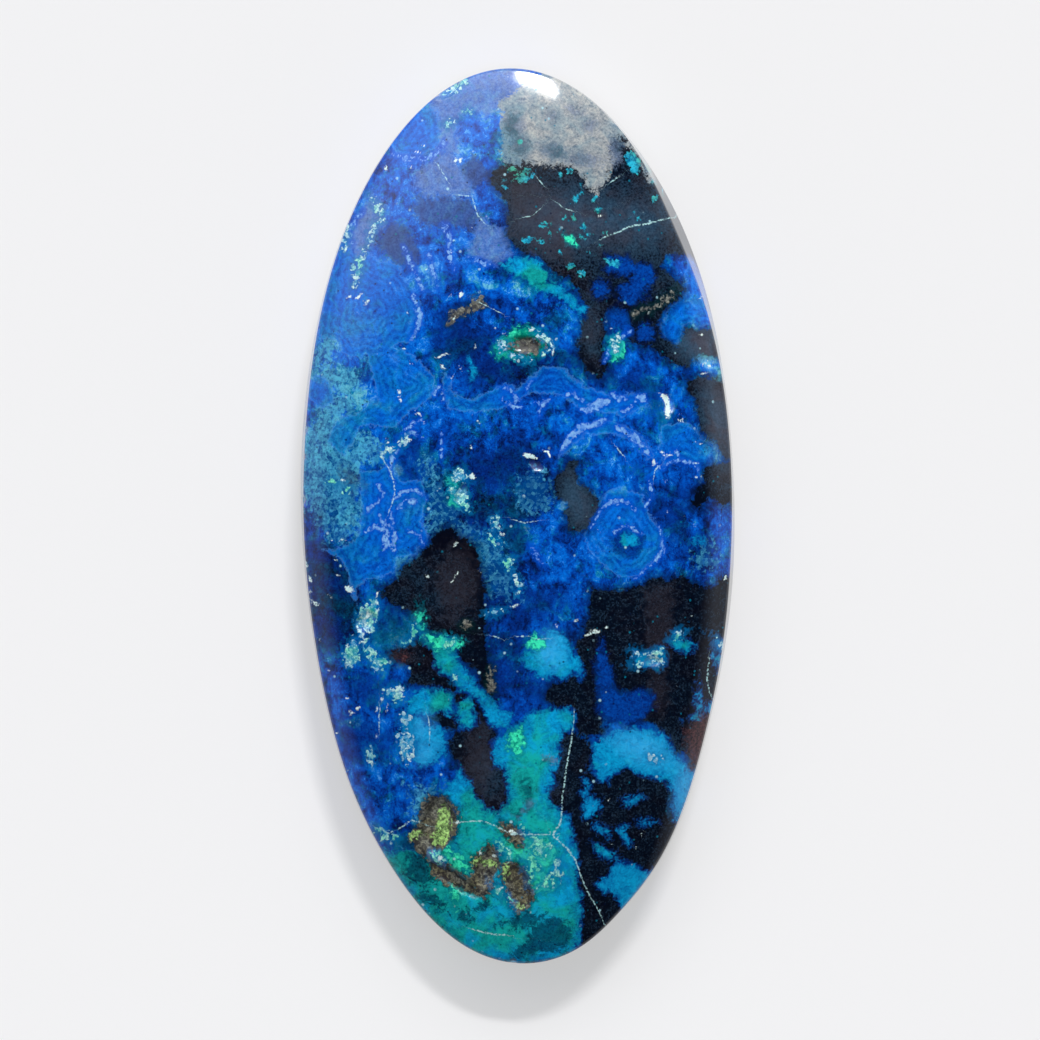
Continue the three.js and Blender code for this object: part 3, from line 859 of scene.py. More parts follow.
        Blot(1.3, 14.1, 0.16, 0.1), Blot(2.5, 15.4, 0.14, 0.1), Blot(1.5, 15.0, 0.24, 0.12),
        Blot(3.5, 14.9, 0.14, 0.12), Blot(2.75, 12.8, 0.2, 0.12), Blot(3.3, 12.5, 0.18, 0.12),
        Blot(4.9, 13.0, 0.4, 0.2), Blot(6.8, 18.0, 0.35, 0.2, -50),
        *dots((-0.3, 18.0, 0.14), (-0.4, 17.3, 0.1), (0.4, 17.7, 0.16), (0.9, 17.6, 0.1),
              (-0.6, 16.9, 0.08), (2.2, 17.5, 0.12), (-1.0, 18.5, 0.12), (0.1, 19.3, 0.14),
              (4.5, 14.6, 0.08), (2.2, 14.8, 0.07), (2.9, 15.3, 0.08), (6.9, 17.2, 0.12), (3.7, 13.5, 0.1),
              (4.4, 13.9, 0.07), (2.1, 13.6, 0.08), (1.7, 14.6, 0.08), (3.3, 16.9, 0.1), (5.9, 15.6, 0.08)),
    ),
    Mineral.MATRIX: (
        Blot(0.5, 8.7, 0.8, 0.42, 2),
        Patch((-5.6, -16.4), (-5.1, -16.0), (-4.9, -15.4), (-4.9, -14.8), (-4.4, -14.4), (-3.6, -14.5),
              (-3.2, -15.0), (-3.1, -15.9), (-3.4, -16.6), (-3.9, -17.0), (-4.4, -17.1), (-4.5, -17.6),
              (-3.8, -17.7), (-3.2, -18.2), (-2.6, -18.6), (-2.1, -18.4), (-2.4, -17.7), (-1.9, -17.3),
              (-1.5, -16.9), (-1.0, -17.1), (-0.9, -17.9), (-1.3, -18.4), (-1.2, -19.1), (-1.6, -19.6),
              (-2.3, -19.4), (-3.2, -19.0), (-3.9, -18.8), (-4.4, -18.4), (-4.6, -17.7), (-5.2, -17.2)),
        Patch((-0.7, -17.9), (-0.1, -17.7), (0.3, -18.1), (0.5, -18.8), (0.9, -19.4), (0.6, -20.1),
              (0.1, -20.4), (-0.4, -20.0), (-0.6, -19.2), (-0.8, -18.6)),
        Patch((-0.9, -15.8), (-0.3, -15.8), (0.2, -16.2), (0.3, -17.0), (-0.2, -16.8), (-0.7, -16.3)),
        Patch((-2.6, 10.7), (-1.9, 11.3), (-1.6, 10.8), (-2.2, 10.5), (-3.1, 10.2), (-3.6, 9.8),
              (-3.4, 10.4)),
        Patch((5.9, 10.3), (6.5, 10.7), (6.9, 10.7), (6.4, 10.4)), Blot(7.5, 11.1, 0.45, 0.12, 45),
        Blot(-1.35, -8.5, 0.15, 0.5, 0), Blot(-2.6, -5.65, 0.2, 0.15),
    ),
    Mineral.LIME: (
        Patch((-4.0, -15.1), (-3.7, -14.8), (-3.4, -15.2), (-3.5, -15.7), (-3.4, -16.1), (-3.6, -16.6),
              (-3.9, -17.0), (-4.4, -16.8), (-4.4, -16.3), (-4.1, -15.8)),
        Blot(-5.2, -16.4, 0.3, 0.2, 30), Blot(-0.55, -18.2, 0.12, 0.35), Blot(0.1, -20.0, 0.2, 0.12),
        Blot(-1.5, -17.8, 0.35, 0.2), Blot(-2.2, -17.8, 0.15, 0.2),
    ),
    Mineral.RUSSET: (
        Patch((8.7, -11.0), (9.2, -10.4), (10.2, -10.1), (9.9, -11.6), (9.5, -12.6), (9.0, -12.9),
              (8.7, -12.0)),
        Blot(-5.9, -7.2, 0.22, 0.14),
    ),
    Mineral.FROST: (
        Streak(0.28, (2.2, 3.3), (2.6, 3.9), (3.1, 4.3), (3.6, 4.6), (4.3, 4.7), (4.7, 4.9)),
        Streak(0.3, (5.1, 4.5), (5.6, 4.4), (6.0, 4.1), (6.4, 3.7), (6.8, 3.2)),
        Streak(0.12, (7.2, 2.7), (7.6, 2.5), (8.0, 2.8), (8.5, 2.9), (9.0, 2.7), (9.3, 2.3)),
        Patch((4.1, 6.0), (4.7, 6.05), (4.8, 5.7), (4.3, 5.5), (3.8, 5.4), (3.6, 5.7)),
        Patch((4.9, 6.3), (5.3, 6.2), (5.6, 6.0), (5.2, 5.9)),
        Patch((6.0, 6.2), (6.5, 6.3), (6.6, 5.9), (6.1, 5.9)),
        Streak(0.16, (2.5, 6.2), (2.8, 6.4), (3.0, 6.1), (3.3, 5.9)),
        Streak(0.14, (1.0, 5.8), (1.3, 5.7), (1.6, 6.0)), Streak(0.13, (5.4, 5.4), (5.9, 5.6)),
        Streak(0.14, (3.2, 5.4), (3.6, 5.3), (3.9, 5.5)),
        Streak(0.12, (-0.9, 6.7), (-0.3, 6.5), (0.1, 6.0), (-0.2, 5.6), (-0.6, 5.9), (-0.8, 6.2)),
        Streak(0.16, (0.7, 6.9), (0.5, 6.5)), Streak(0.12, (1.2, 5.5), (1.15, 5.1)),
        Blot(0.15, 5.6, 0.15, 0.12), Streak(0.12, (-6.6, 2.6), (-6.4, 3.1), (-6.0, 3.4)),
        Streak(0.1, (-6.6, 2.5), (-6.5, 1.9), (-6.3, 1.6)),
        Streak(0.12, (-6.0, 4.1), (-5.4, 4.2), (-4.9, 4.1)),
        Streak(0.1, (-5.7, 4.4), (-5.2, 4.8), (-5.0, 5.1)),
        Streak(0.14, (-4.3, 6.2), (-3.9, 6.6), (-3.85, 6.0)),
        Streak(0.12, (-3.9, 3.0), (-3.9, 3.8), (-3.9, 4.3)),
        Streak(0.14, (-7.0, -2.0), (-6.7, -1.4), (-6.7, -0.8), (-7.0, 0.0)),
        Streak(0.06, (-6.5, -1.6), (-6.3, -0.8), (-6.5, 0.3)),
        Streak(0.16, (-6.4, 18.7), (-5.6, 18.4), (-4.8, 18.35), (-4.1, 18.6), (-3.7, 19.2)),
        Streak(0.12, (-5.9, 14.0), (-5.5, 13.0), (-5.1, 12.3), (-4.8, 11.6)),
        Streak(0.1, (-3.9, 15.0), (-3.6, 14.2), (-3.5, 13.4), (-3.3, 12.6)),
        Streak(0.1, (-4.6, 13.4), (-4.2, 11.8)), Streak(0.14, (-2.5, 13.3), (-1.8, 13.05), (-1.2, 12.85)),
        Streak(0.1, (-3.65, 15.0), (-3.45, 14.3), (-3.4, 13.6)),
        Streak(0.12, (-8.0, 15.8), (-8.4, 15.1), (-8.6, 14.6), (-8.5, 14.1)),
        Streak(0.1, (-8.2, 12.9), (-8.4, 11.8)),
        Streak(0.2, (-5.4, 11.4), (-5.1, 10.7), (-5.1, 9.8), (-5.5, 9.1)),
        Streak(0.12, (7.6, 3.0), (8.1, 3.4), (8.4, 2.9)), Streak(0.06, (4.3, 8.0), (4.7, 8.5)),
        Streak(0.05, (5.3, 9.1), (5.8, 9.6)), Blot(1.0, -2.0, 0.25, 0.08, -60),
        Streak(0.12, (-6.4, 0.9), (-5.8, 1.25), (-5.1, 1.25), (-4.6, 0.9)),
        Streak(0.1, (-6.2, 0.3), (-5.7, 0.75), (-5.1, 0.75)),
        Streak(0.12, (-7.7, 0.2), (-7.2, 0.6), (-6.9, 1.2), (-7.2, 1.6)),
        Streak(0.12, (-6.9, -0.3), (-6.2, -0.9), (-6.3, -1.8)),
        Streak(0.1, (-7.8, -0.8), (-7.3, -0.4), (-6.9, -0.9), (-7.0, -1.6)),
        Streak(0.1, (-5.6, -0.8), (-5.0, -1.0), (-4.8, -1.5)),
        Streak(0.1, (3.8, -0.5), (4.6, 0.7), (5.4, 0.8), (6.1, 0.4)),
        Streak(0.08, (6.8, 1.9), (6.9, 1.0), (6.5, 0.4)),
        Streak(0.1, (7.3, -0.6), (7.5, -1.6), (6.9, -2.6), (5.9, -3.2)),
        Streak(0.08, (4.9, -0.9), (5.6, -0.5), (6.4, -0.9)),
    ),
    Mineral.MINT: (
        Streak(0.2, (-7.6, 16.5), (-7.2, 15.9), (-7.0, 15.4), (-7.4, 14.8), (-7.6, 14.2), (-7.9, 13.6)),
        Streak(0.24, (-8.0, 13.3), (-8.3, 12.6), (-8.4, 11.9)),
        Streak(0.2, (-8.7, 14.8), (-8.9, 14.2), (-9.0, 13.6)),
        Patch((-8.35, -5.2), (-8.0, -5.0), (-7.8, -4.7), (-7.3, -4.4), (-7.1, -4.9), (-7.3, -5.4),
              (-7.4, -5.85), (-7.9, -5.85), (-8.3, -5.7)),
        Patch((-8.1, -6.0), (-7.8, -6.3), (-7.6, -6.7), (-7.3, -7.1), (-6.8, -7.4), (-6.7, -7.8),
              (-7.3, -7.8), (-7.6, -7.3), (-7.9, -6.8)),
        Patch((-9.0, -7.0), (-8.7, -6.5), (-8.4, -6.3), (-8.1, -6.9), (-8.2, -7.3), (-8.6, -7.7),
              (-8.8, -7.3)),
        Patch((-6.8, -8.9), (-6.1, -8.7), (-5.9, -9.1), (-6.0, -9.5), (-6.6, -9.4)),
        Patch((-5.95, -10.15), (-5.5, -10.3), (-5.6, -10.9), (-5.9, -10.8)),
        Patch((-6.1, -11.4), (-5.5, -11.1), (-5.3, -11.6), (-5.5, -12.3), (-5.8, -12.6), (-6.0, -12.1)),
        Patch((-3.3, 2.1), (-3.0, 2.4), (-2.6, 2.0), (-2.7, 1.7), (-3.2, 1.8)),
        Streak(0.3, (-3.4, 1.25), (-3.1, 1.1), (-2.8, 0.7), (-2.5, 0.4)),
        Streak(0.16, (-3.0, 1.3), (-2.6, 1.0)), Streak(0.22, (-1.2, -0.4), (-1.0, -0.5), (-0.9, -0.1)),
        Streak(0.14, (-1.5, -1.0), (-1.1, -1.2), (-0.8, -1.4)),
        Patch((-0.7, -2.4), (-0.3, -2.3), (-0.3, -2.7), (-0.6, -2.7)),
        Streak(0.14, (-0.1, -3.2), (0.05, -3.7), (-0.1, -4.0)),
        Patch((6.8, -7.1), (7.0, -7.0), (7.4, -6.95), (7.4, -7.5), (7.1, -7.8), (6.9, -7.5)),
        Streak(0.14, (-0.9, 9.0), (-0.6, 8.8), (-0.8, 8.5)),
        Streak(0.12, (-0.3, 8.2), (0.3, 8.0), (0.6, 7.95)),
        Streak(0.12, (0.7, 9.5), (1.2, 9.3), (1.5, 9.0)), Streak(0.12, (1.3, 8.3), (1.6, 8.6)),
        Blot(1.75, 8.8, 0.08, 0.2), Blot(5.0, 8.85, 0.14, 0.2),
        Streak(0.3, (-4.4, -17.3), (-4.2, -17.5), (-3.9, -17.7)),
        Streak(0.24, (-1.0, -16.8), (-0.7, -17.2), (-0.5, -17.4)),
        Streak(0.2, (1.7, -17.0), (1.2, -17.0), (0.8, -17.4), (0.6, -17.8)),
        Streak(0.16, (0.2, -16.0), (0.4, -16.4), (0.8, -16.5), (0.6, -16.9), (1.2, -16.9)),
        Blot(-0.7, -19.5, 0.3, 0.12, -50), Blot(0.9, -16.9, 0.3, 0.2, 30), Blot(1.4, -17.3, 0.3, 0.22, -40),
        Blot(0.9, -17.8, 0.2, 0.35, 20), Blot(0.6, -18.4, 0.16, 0.3), Blot(1.5, -18.9, 0.3, 0.2, 20),
        Blot(2.1, -18.2, 0.14, 0.25), Streak(0.14, (0.4, -17.6), (1.0, -18.3)),
        Streak(0.12, (1.9, -18.4), (1.5, -18.9), (1.0, -19.1)),
        Streak(0.18, (-3.6, -6.4), (-3.4, -6.6), (-3.3, -6.4)), Streak(0.1, (-3.15, -8.0), (-3.2, -8.5)),
        Streak(0.16, (-5.9, -6.5), (-5.5, -6.4), (-5.3, -6.1), (-5.2, -5.7)),
        Blot(7.1, -12.4, 0.3, 0.2, -20), Streak(0.2, (-9.7, 1.8), (-9.4, 1.7)),
        Streak(0.18, (-8.9, 1.3), (-8.6, 1.4)), Streak(0.22, (-7.0, 3.0), (-6.6, 3.4), (-6.0, 3.6)),
        Streak(0.16, (-6.0, 3.8), (-5.6, 3.9)),
        Streak(0.3, (-7.2, -16.1), (-6.9, -16.3), (-6.6, -16.5), (-6.3, -16.5)),
        Streak(0.3, (-3.8, 21.75), (-3.3, 21.95), (-2.7, 22.3)), Blot(-3.5, 20.15, 0.2, 0.15),
        Blot(-2.5, 20.7, 0.13, 0.1), Blot(8.2, -6.15, 0.14, 0.07, 30), Blot(6.2, -7.15, 0.12, 0.07),
        Blot(6.25, -7.65, 0.14, 0.06), Blot(-7.5, -12.3, 0.12, 0.25), Blot(10.5, -6.7, 0.2, 0.08, -40),
        Streak(0.1, (-0.6, -4.9), (-1.2, -4.95), (-1.6, -5.1)),
    ),
    # These white dots and crumbs are partly pale mineral and partly painted glints of small pits that catch
    # the light.
    Mineral.WHITE: (
        Patch((7.1, 6.3), (7.4, 6.3), (7.8, 6.0), (7.9, 5.5), (7.9, 5.1), (7.7, 5.1), (7.6, 5.6),
              (7.4, 6.0)),
        Streak(0.26, (0.35, 3.2), (0.7, 3.0), (0.95, 2.9)),
        Streak(0.12, (1.25, 3.4), (1.45, 3.4), (1.65, 3.1)), Blot(-2.35, 2.05, 0.14, 0.18, 40),
        Streak(0.14, (-3.95, 7.7), (-3.7, 7.5)), Streak(0.12, (-3.0, 7.7), (-2.9, 7.4)),
        Streak(0.26, (-8.8, -3.7), (-8.5, -3.85)), Streak(0.12, (3.3, -6.05), (3.7, -5.95), (4.1, -5.85)),
        Streak(0.08, (4.4, -5.75), (4.65, -5.75)), Streak(0.09, (2.95, -5.35), (3.1, -5.3)),
        Streak(0.16, (-7.7, -5.0), (-7.6, -5.3)), Streak(0.1, (7.3, 3.3), (7.5, 3.1), (7.9, 3.1)),
        Blot(7.05, 2.8, 0.1, 0.14),
        *dots((-6.7, 17.75, 0.15), (-5.45, 18.0, 0.08), (-5.25, 18.7, 0.07), (-4.9, 19.1, 0.07),
              (-3.2, 18.25, 0.07), (-2.95, 18.25, 0.06), (-6.2, 14.35, 0.08), (-3.4, 13.6, 0.1),
              (-2.4, 14.7, 0.07), (-1.45, 15.35, 0.06), (-4.7, 12.65, 0.08), (-7.2, 16.55, 0.08),
              (-8.6, 11.3, 0.12), (-8.1, 11.3, 0.1), (-7.7, 11.0, 0.09), (-8.3, 10.35, 0.08),
              (-5.65, 10.5, 0.07), (-2.85, 11.3, 0.14), (-3.5, 11.3, 0.09), (-3.3, 10.15, 0.11),
              (-1.1, 9.75, 0.06), (-0.67, 9.35, 0.09), (-6.0, 8.85, 0.08), (-5.8, 8.55, 0.08),
              (-3.75, 8.25, 0.13), (-4.1, 8.15, 0.06), (-2.15, 8.65, 0.07), (-0.1, 7.9, 0.09),
              (-5.45, 7.85, 0.07), (-6.1, 6.4, 0.12), (-6.05, 5.9, 0.08), (-4.75, 4.85, 0.1),
              (-5.15, 5.25, 0.08), (-5.55, 3.75, 0.1), (-6.7, 3.85, 0.07), (-1.95, 4.75, 0.07),
              (-2.4, 3.45, 0.07), (-3.3, 7.1, 0.08), (-9.0, 1.75, 0.08), (-4.0, 1.35, 0.06),
              (8.35, 4.9, 0.09), (8.3, 5.2, 0.05), (9.3, 3.85, 0.1), (9.3, 2.0, 0.1), (9.15, 2.7, 0.06),
              (8.1, 1.4, 0.07), (7.7, 1.8, 0.06), (7.75, 0.1, 0.05), (9.15, -0.5, 0.08), (4.2, -0.7, 0.06),
              (2.1, -5.65, 0.08), (9.5, 7.3, 0.07), (9.6, 7.9, 0.09), (9.75, 7.7, 0.07), (4.75, 9.6, 0.05),
              (1.5, 9.05, 0.1), (1.85, 8.35, 0.09), (0.7, 9.55, 0.09), (9.4, 11.2, 0.07), (9.4, 9.3, 0.06),
              (6.8, 10.4, 0.05), (4.3, 15.45, 0.07), (5.2, 17.4, 0.06), (-8.95, -1.25, 0.08),
              (-9.6, -1.3, 0.07), (-9.3, -2.2, 0.06), (-9.3, -3.05, 0.1), (-9.65, -4.15, 0.09),
              (-10.3, -4.5, 0.1), (-10.6, -3.9, 0.1), (-10.7, -3.2, 0.12), (-10.9, -2.4, 0.1),
              (-10.25, -6.3, 0.1), (-10.6, -4.3, 0.08), (-9.7, -7.9, 0.1), (-7.15, -4.1, 0.09),
              (-7.0, -9.3, 0.07), (-6.7, -9.8, 0.09), (-8.15, -9.95, 0.08), (-8.45, -10.15, 0.1),
              (-8.5, -10.65, 0.08), (-7.3, -9.85, 0.07), (-8.75, -9.45, 0.06), (-9.4, -11.1, 0.05),
              (-7.2, -11.3, 0.05), (-1.9, -8.75, 0.06), (0.0, -3.6, 0.08), (-0.2, -4.75, 0.1),
              (-0.8, -1.0, 0.13), (-0.9, -0.5, 0.1), (-3.2, -1.5, 0.1), (-3.15, -3.05, 0.1),
              (-4.6, -3.05, 0.08), (-1.9, -2.85, 0.09), (-3.4, -3.4, 0.07), (9.9, -7.3, 0.08),
              (9.0, -5.1, 0.04), (8.2, -8.7, 0.06), (8.7, 0.0, 0.05), (10.6, -3.15, 0.06),
              (6.6, -14.5, 0.08), (4.8, -14.65, 0.07), (6.5, -16.3, 0.07), (6.1, -17.0, 0.05),
              (4.8, -16.8, 0.06), (5.9, -17.9, 0.05), (7.1, -12.45, 0.12), (-3.1, -15.8, 0.11),
              (-5.6, -12.5, 0.1), (-5.75, -11.6, 0.08), (-8.7, -13.05, 0.07), (-4.0, -17.5, 0.14),
              (-1.2, -17.3, 0.12), (-1.9, -17.3, 0.1), (-0.3, -16.2, 0.1), (-1.85, -22.3, 0.06),
              (-0.9, -22.8, 0.05), (-0.55, 22.7, 0.06)),
    ),
}

VEINS: tuple[Streak, ...] = (
    Streak(0.07, (4.3, 14.2), (4.6, 14.4), (5.2, 14.6), (5.8, 14.9), (6.7, 15.0), (7.5, 15.25),
           (8.1, 15.4)),
    Streak(0.06, (-7.3, -16.0), (-6.6, -16.3), (-6.0, -16.0), (-5.4, -15.65), (-4.9, -15.8),
           (-4.3, -15.95)),
    Streak(0.06, (-3.2, -15.75), (-2.4, -15.7), (-1.6, -15.75), (-1.0, -16.0), (-0.3, -16.3), (0.3, -16.35),
           (1.2, -16.4), (2.0, -16.35)),
    Streak(0.07, (2.95, -9.9), (2.85, -10.8), (2.75, -11.6), (2.6, -12.4), (2.5, -13.4), (2.35, -14.2),
           (2.3, -15.0), (2.2, -15.8), (1.8, -16.4), (2.5, -17.0), (3.0, -17.8), (3.3, -18.6), (3.7, -19.5),
           (4.1, -20.2), (4.5, -21.0)),
    Streak(0.06, (9.9, -7.3), (9.8, -7.9), (9.75, -8.4), (9.85, -9.0), (10.0, -9.4)),
    Streak(0.07, (-2.4, -21.2), (-1.5, -21.45), (-0.4, -21.6)), Streak(0.05, (-7.1, -9.7), (-7.1, -11.0)),
    Streak(0.05, (-4.6, -10.3), (-4.5, -10.9), (-4.55, -11.4)), Streak(0.05, (0.0, -6.2), (0.6, -6.15)),
    Streak(0.05, (0.9, -6.3), (1.6, -6.3)), Streak(0.05, (-1.3, -6.2), (-0.8, -6.3)),
    Streak(0.04, (0.3, 15.3), (0.8, 15.45), (1.2, 15.8)),
    Streak(0.04, (2.0, 16.1), (2.4, 15.8), (2.9, 15.65)), Streak(0.04, (1.0, 17.4), (1.35, 17.0)),
    Streak(0.05, (-4.1, 18.1), (-3.5, 17.1)), Streak(0.05, (4.8, 17.1), (5.2, 17.4)),
    Streak(0.05, (-3.2, 16.5), (-2.3, 16.4), (-2.05, 15.4), (-1.6, 15.0)),
    Streak(0.04, (-2.0, 11.0), (-0.8, 10.4)),
    Streak(0.05, (-6.9, 2.9), (-6.5, 2.2), (-6.3, 1.2), (-6.6, 0.1)), Streak(0.06, (5.1, 3.5), (5.4, 3.1)),
    Streak(0.05, (-0.2, -0.2), (0.4, -0.35), (1.0, -0.3)), Streak(0.05, (7.0, 1.9), (7.1, 2.4), (7.3, 2.6)),
)

TONES: tuple[Wash, ...] = (
    Wash(-3.4, 0.4, 1.6, 2.2, 0, -0.5), Wash(-1.2, -0.2, 1.4, 1.0, 0, -0.4),
    Wash(-7.0, 11.0, 5.0, 3.4, 70, 0.2), Wash(-8.5, 6.0, 4.0, 2.2, 80, 0.2),
    Wash(-2.6, 20.5, 2.6, 2.2, 0, 0.15), Wash(-4.2, 12.6, 1.8, 3.4, -20, 0.05),
    Wash(-3.5, 17.5, 3.2, 2.2, 60, 0.15), Wash(-2.0, 11.5, 3.0, 1.6, 20, 0.1),
    Wash(0.5, 7.4, 3.0, 1.2, 0, -0.55), Wash(-3.0, 9.0, 1.6, 1.4, 0, -0.5),
    Wash(5.0, 4.0, 4.0, 2.6, 0, 0.12), Wash(5.6, -1.2, 2.2, 2.2, 0, 0.2),
    Wash(-0.5, 2.6, 2.6, 2.0, 0, -0.5), Wash(1.4, -2.0, 2.4, 3.0, 0, -0.05),
    Wash(-6.8, 0.5, 2.2, 4.0, 0, 0.2), Wash(-9.6, -4.0, 1.4, 4.0, 10, -0.75),
    Wash(-8.0, -10.5, 3.0, 3.4, 0, 0.1), Wash(-0.2, -6.6, 1.6, 3.4, 0, -0.35),
    Wash(8.8, 1.0, 1.6, 2.4, 0, -0.2),
    # The wash at (2.6, 15.2) lightens the black near the top end: partly its own greyer grain, partly painted
    # reflection of the bright far side.
    Wash(9.2, -2.2, 1.6, 1.4, 0, -0.1), Wash(2.6, 15.2, 3.2, 1.8, 0, 0.75),
    Wash(10.2, 4.4, 0.9, 3.4, 8, 0.4), Wash(3.0, 0.8, 0.9, 1.8, 20, 0.7),
    # The wash at (6.4, 15.0) does the same: partly the black's own grain, partly painted reflection of the far
    # side.
    Wash(6.4, 15.0, 1.6, 2.0, -30, 0.4), Wash(-3.6, -3.4, 1.8, 2.4, 0, 0.15),
    Wash(-1.4, -13.0, 1.0, 2.0, 0, 0.3), Wash(-5.0, -18.9, 1.8, 1.4, -30, -0.5),
    Wash(-1.6, -21.4, 2.6, 1.0, 0, -0.5), Wash(1.4, -12.6, 1.0, 2.2, 0, 0.4),
    Wash(7.0, -12.2, 1.8, 1.0, -20, 0.6), Wash(1.6, -6.9, 1.2, 1.0, 0, 0.6),
    Wash(9.0, 11.0, 1.4, 3.0, 20, 0.3), Wash(8.0, 7.0, 1.6, 1.6, 0, -0.05),
    Wash(1.6, 9.4, 1.4, 1.6, 0, -0.15), Wash(-1.2, -16.6, 0.8, 0.6, 0, 0.4),
    Wash(-0.8, -19.4, 0.7, 0.6, 0, 0.5), Wash(-0.8, -2.8, 1.0, 1.6, 0, -0.5),
    Wash(9.2, 8.7, 1.2, 0.9, 0, 0.7), Wash(3.8, 9.4, 0.7, 2.0, 0, 0.45), Wash(0.4, 8.7, 1.3, 1.0, 0, -0.5),
    Wash(1.0, -17.6, 1.0, 1.3, 0, 0.5), Wash(10.4, 5.2, 0.8, 2.4, 8, 0.4),
    Wash(0.9, 1.1, 0.8, 0.9, 0, -0.7), Wash(9.6, -2.0, 0.8, 1.0, 0, -0.4),
    Wash(5.05, 8.6, 0.6, 0.7, 0, -0.5),
)

GREENING: tuple[Wash, ...] = (
    Wash(10.5, 5.6, 1.0, 3.4, 8, 0.8), Wash(4.0, 9.0, 0.7, 1.6, 0, 0.4), Wash(9.6, 8.8, 0.9, 0.7, 0, 0.5),
    Wash(2.8, 15.2, 3.0, 2.0, 0, 0.25), Wash(-0.4, 19.2, 0.8, 1.8, 0, 1.0),
    Wash(1.8, 18.8, 0.8, 0.5, 0, 0.8), Wash(6.4, 17.8, 0.8, 1.2, 0, 0.4), Wash(-9.6, 2.6, 1.6, 3.4, 0, 0.8),
    Wash(-8.4, 6.4, 1.4, 1.6, 0, 0.45), Wash(-5.4, 6.6, 1.6, 1.6, 0, 0.3),
    Wash(-9.9, 8.2, 0.8, 1.8, 0, 0.35), Wash(-4.2, 1.0, 1.2, 2.4, 0, 0.5),
    Wash(-1.2, -1.8, 1.4, 2.4, 0, 0.5), Wash(0.8, 1.2, 1.4, 1.4, 0, 0.4),
    Wash(-9.4, -4.6, 1.6, 2.4, 0, 0.35), Wash(-5.8, -6.0, 1.8, 1.4, 0, 0.8),
    Wash(-4.6, -18.8, 3.0, 1.6, -30, 0.9), Wash(-2.2, -16.2, 2.4, 1.6, 0, 0.9),
    Wash(0.4, -13.4, 1.0, 2.2, 0, 0.85), Wash(0.8, -17.8, 1.6, 2.0, 0, 0.8),
    Wash(-3.8, -7.0, 1.0, 1.2, 0, 0.75), Wash(-3.9, -9.6, 0.8, 0.8, 0, 0.7),
    Wash(-2.5, -10.3, 0.6, 0.8, 0, 0.8), Wash(1.2, 12.2, 1.6, 0.8, 0, 0.7),
    Wash(3.1, 10.9, 0.8, 0.6, 0, 0.5), Wash(6.6, -12.0, 2.4, 1.2, 0, -0.6),
    Wash(1.9, -7.0, 1.4, 1.6, 0, -0.35), Wash(5.8, -18.8, 1.6, 1.4, 0, -0.6),
    Wash(3.8, -14.8, 1.0, 1.0, 0, -0.6), Wash(8.6, -14.0, 1.0, 2.4, 0, -0.5),
    Wash(-4.6, -11.6, 1.4, 1.4, 0, -0.5), Wash(-5.0, -9.6, 0.7, 0.7, 0, -0.5),
    Wash(8.8, -6.6, 1.0, 0.6, 0, 0.5), Wash(2.7, -21.0, 0.8, 1.6, 0, 0.3),
    Wash(-1.2, -21.4, 3.4, 1.4, 0, 0.6),
)


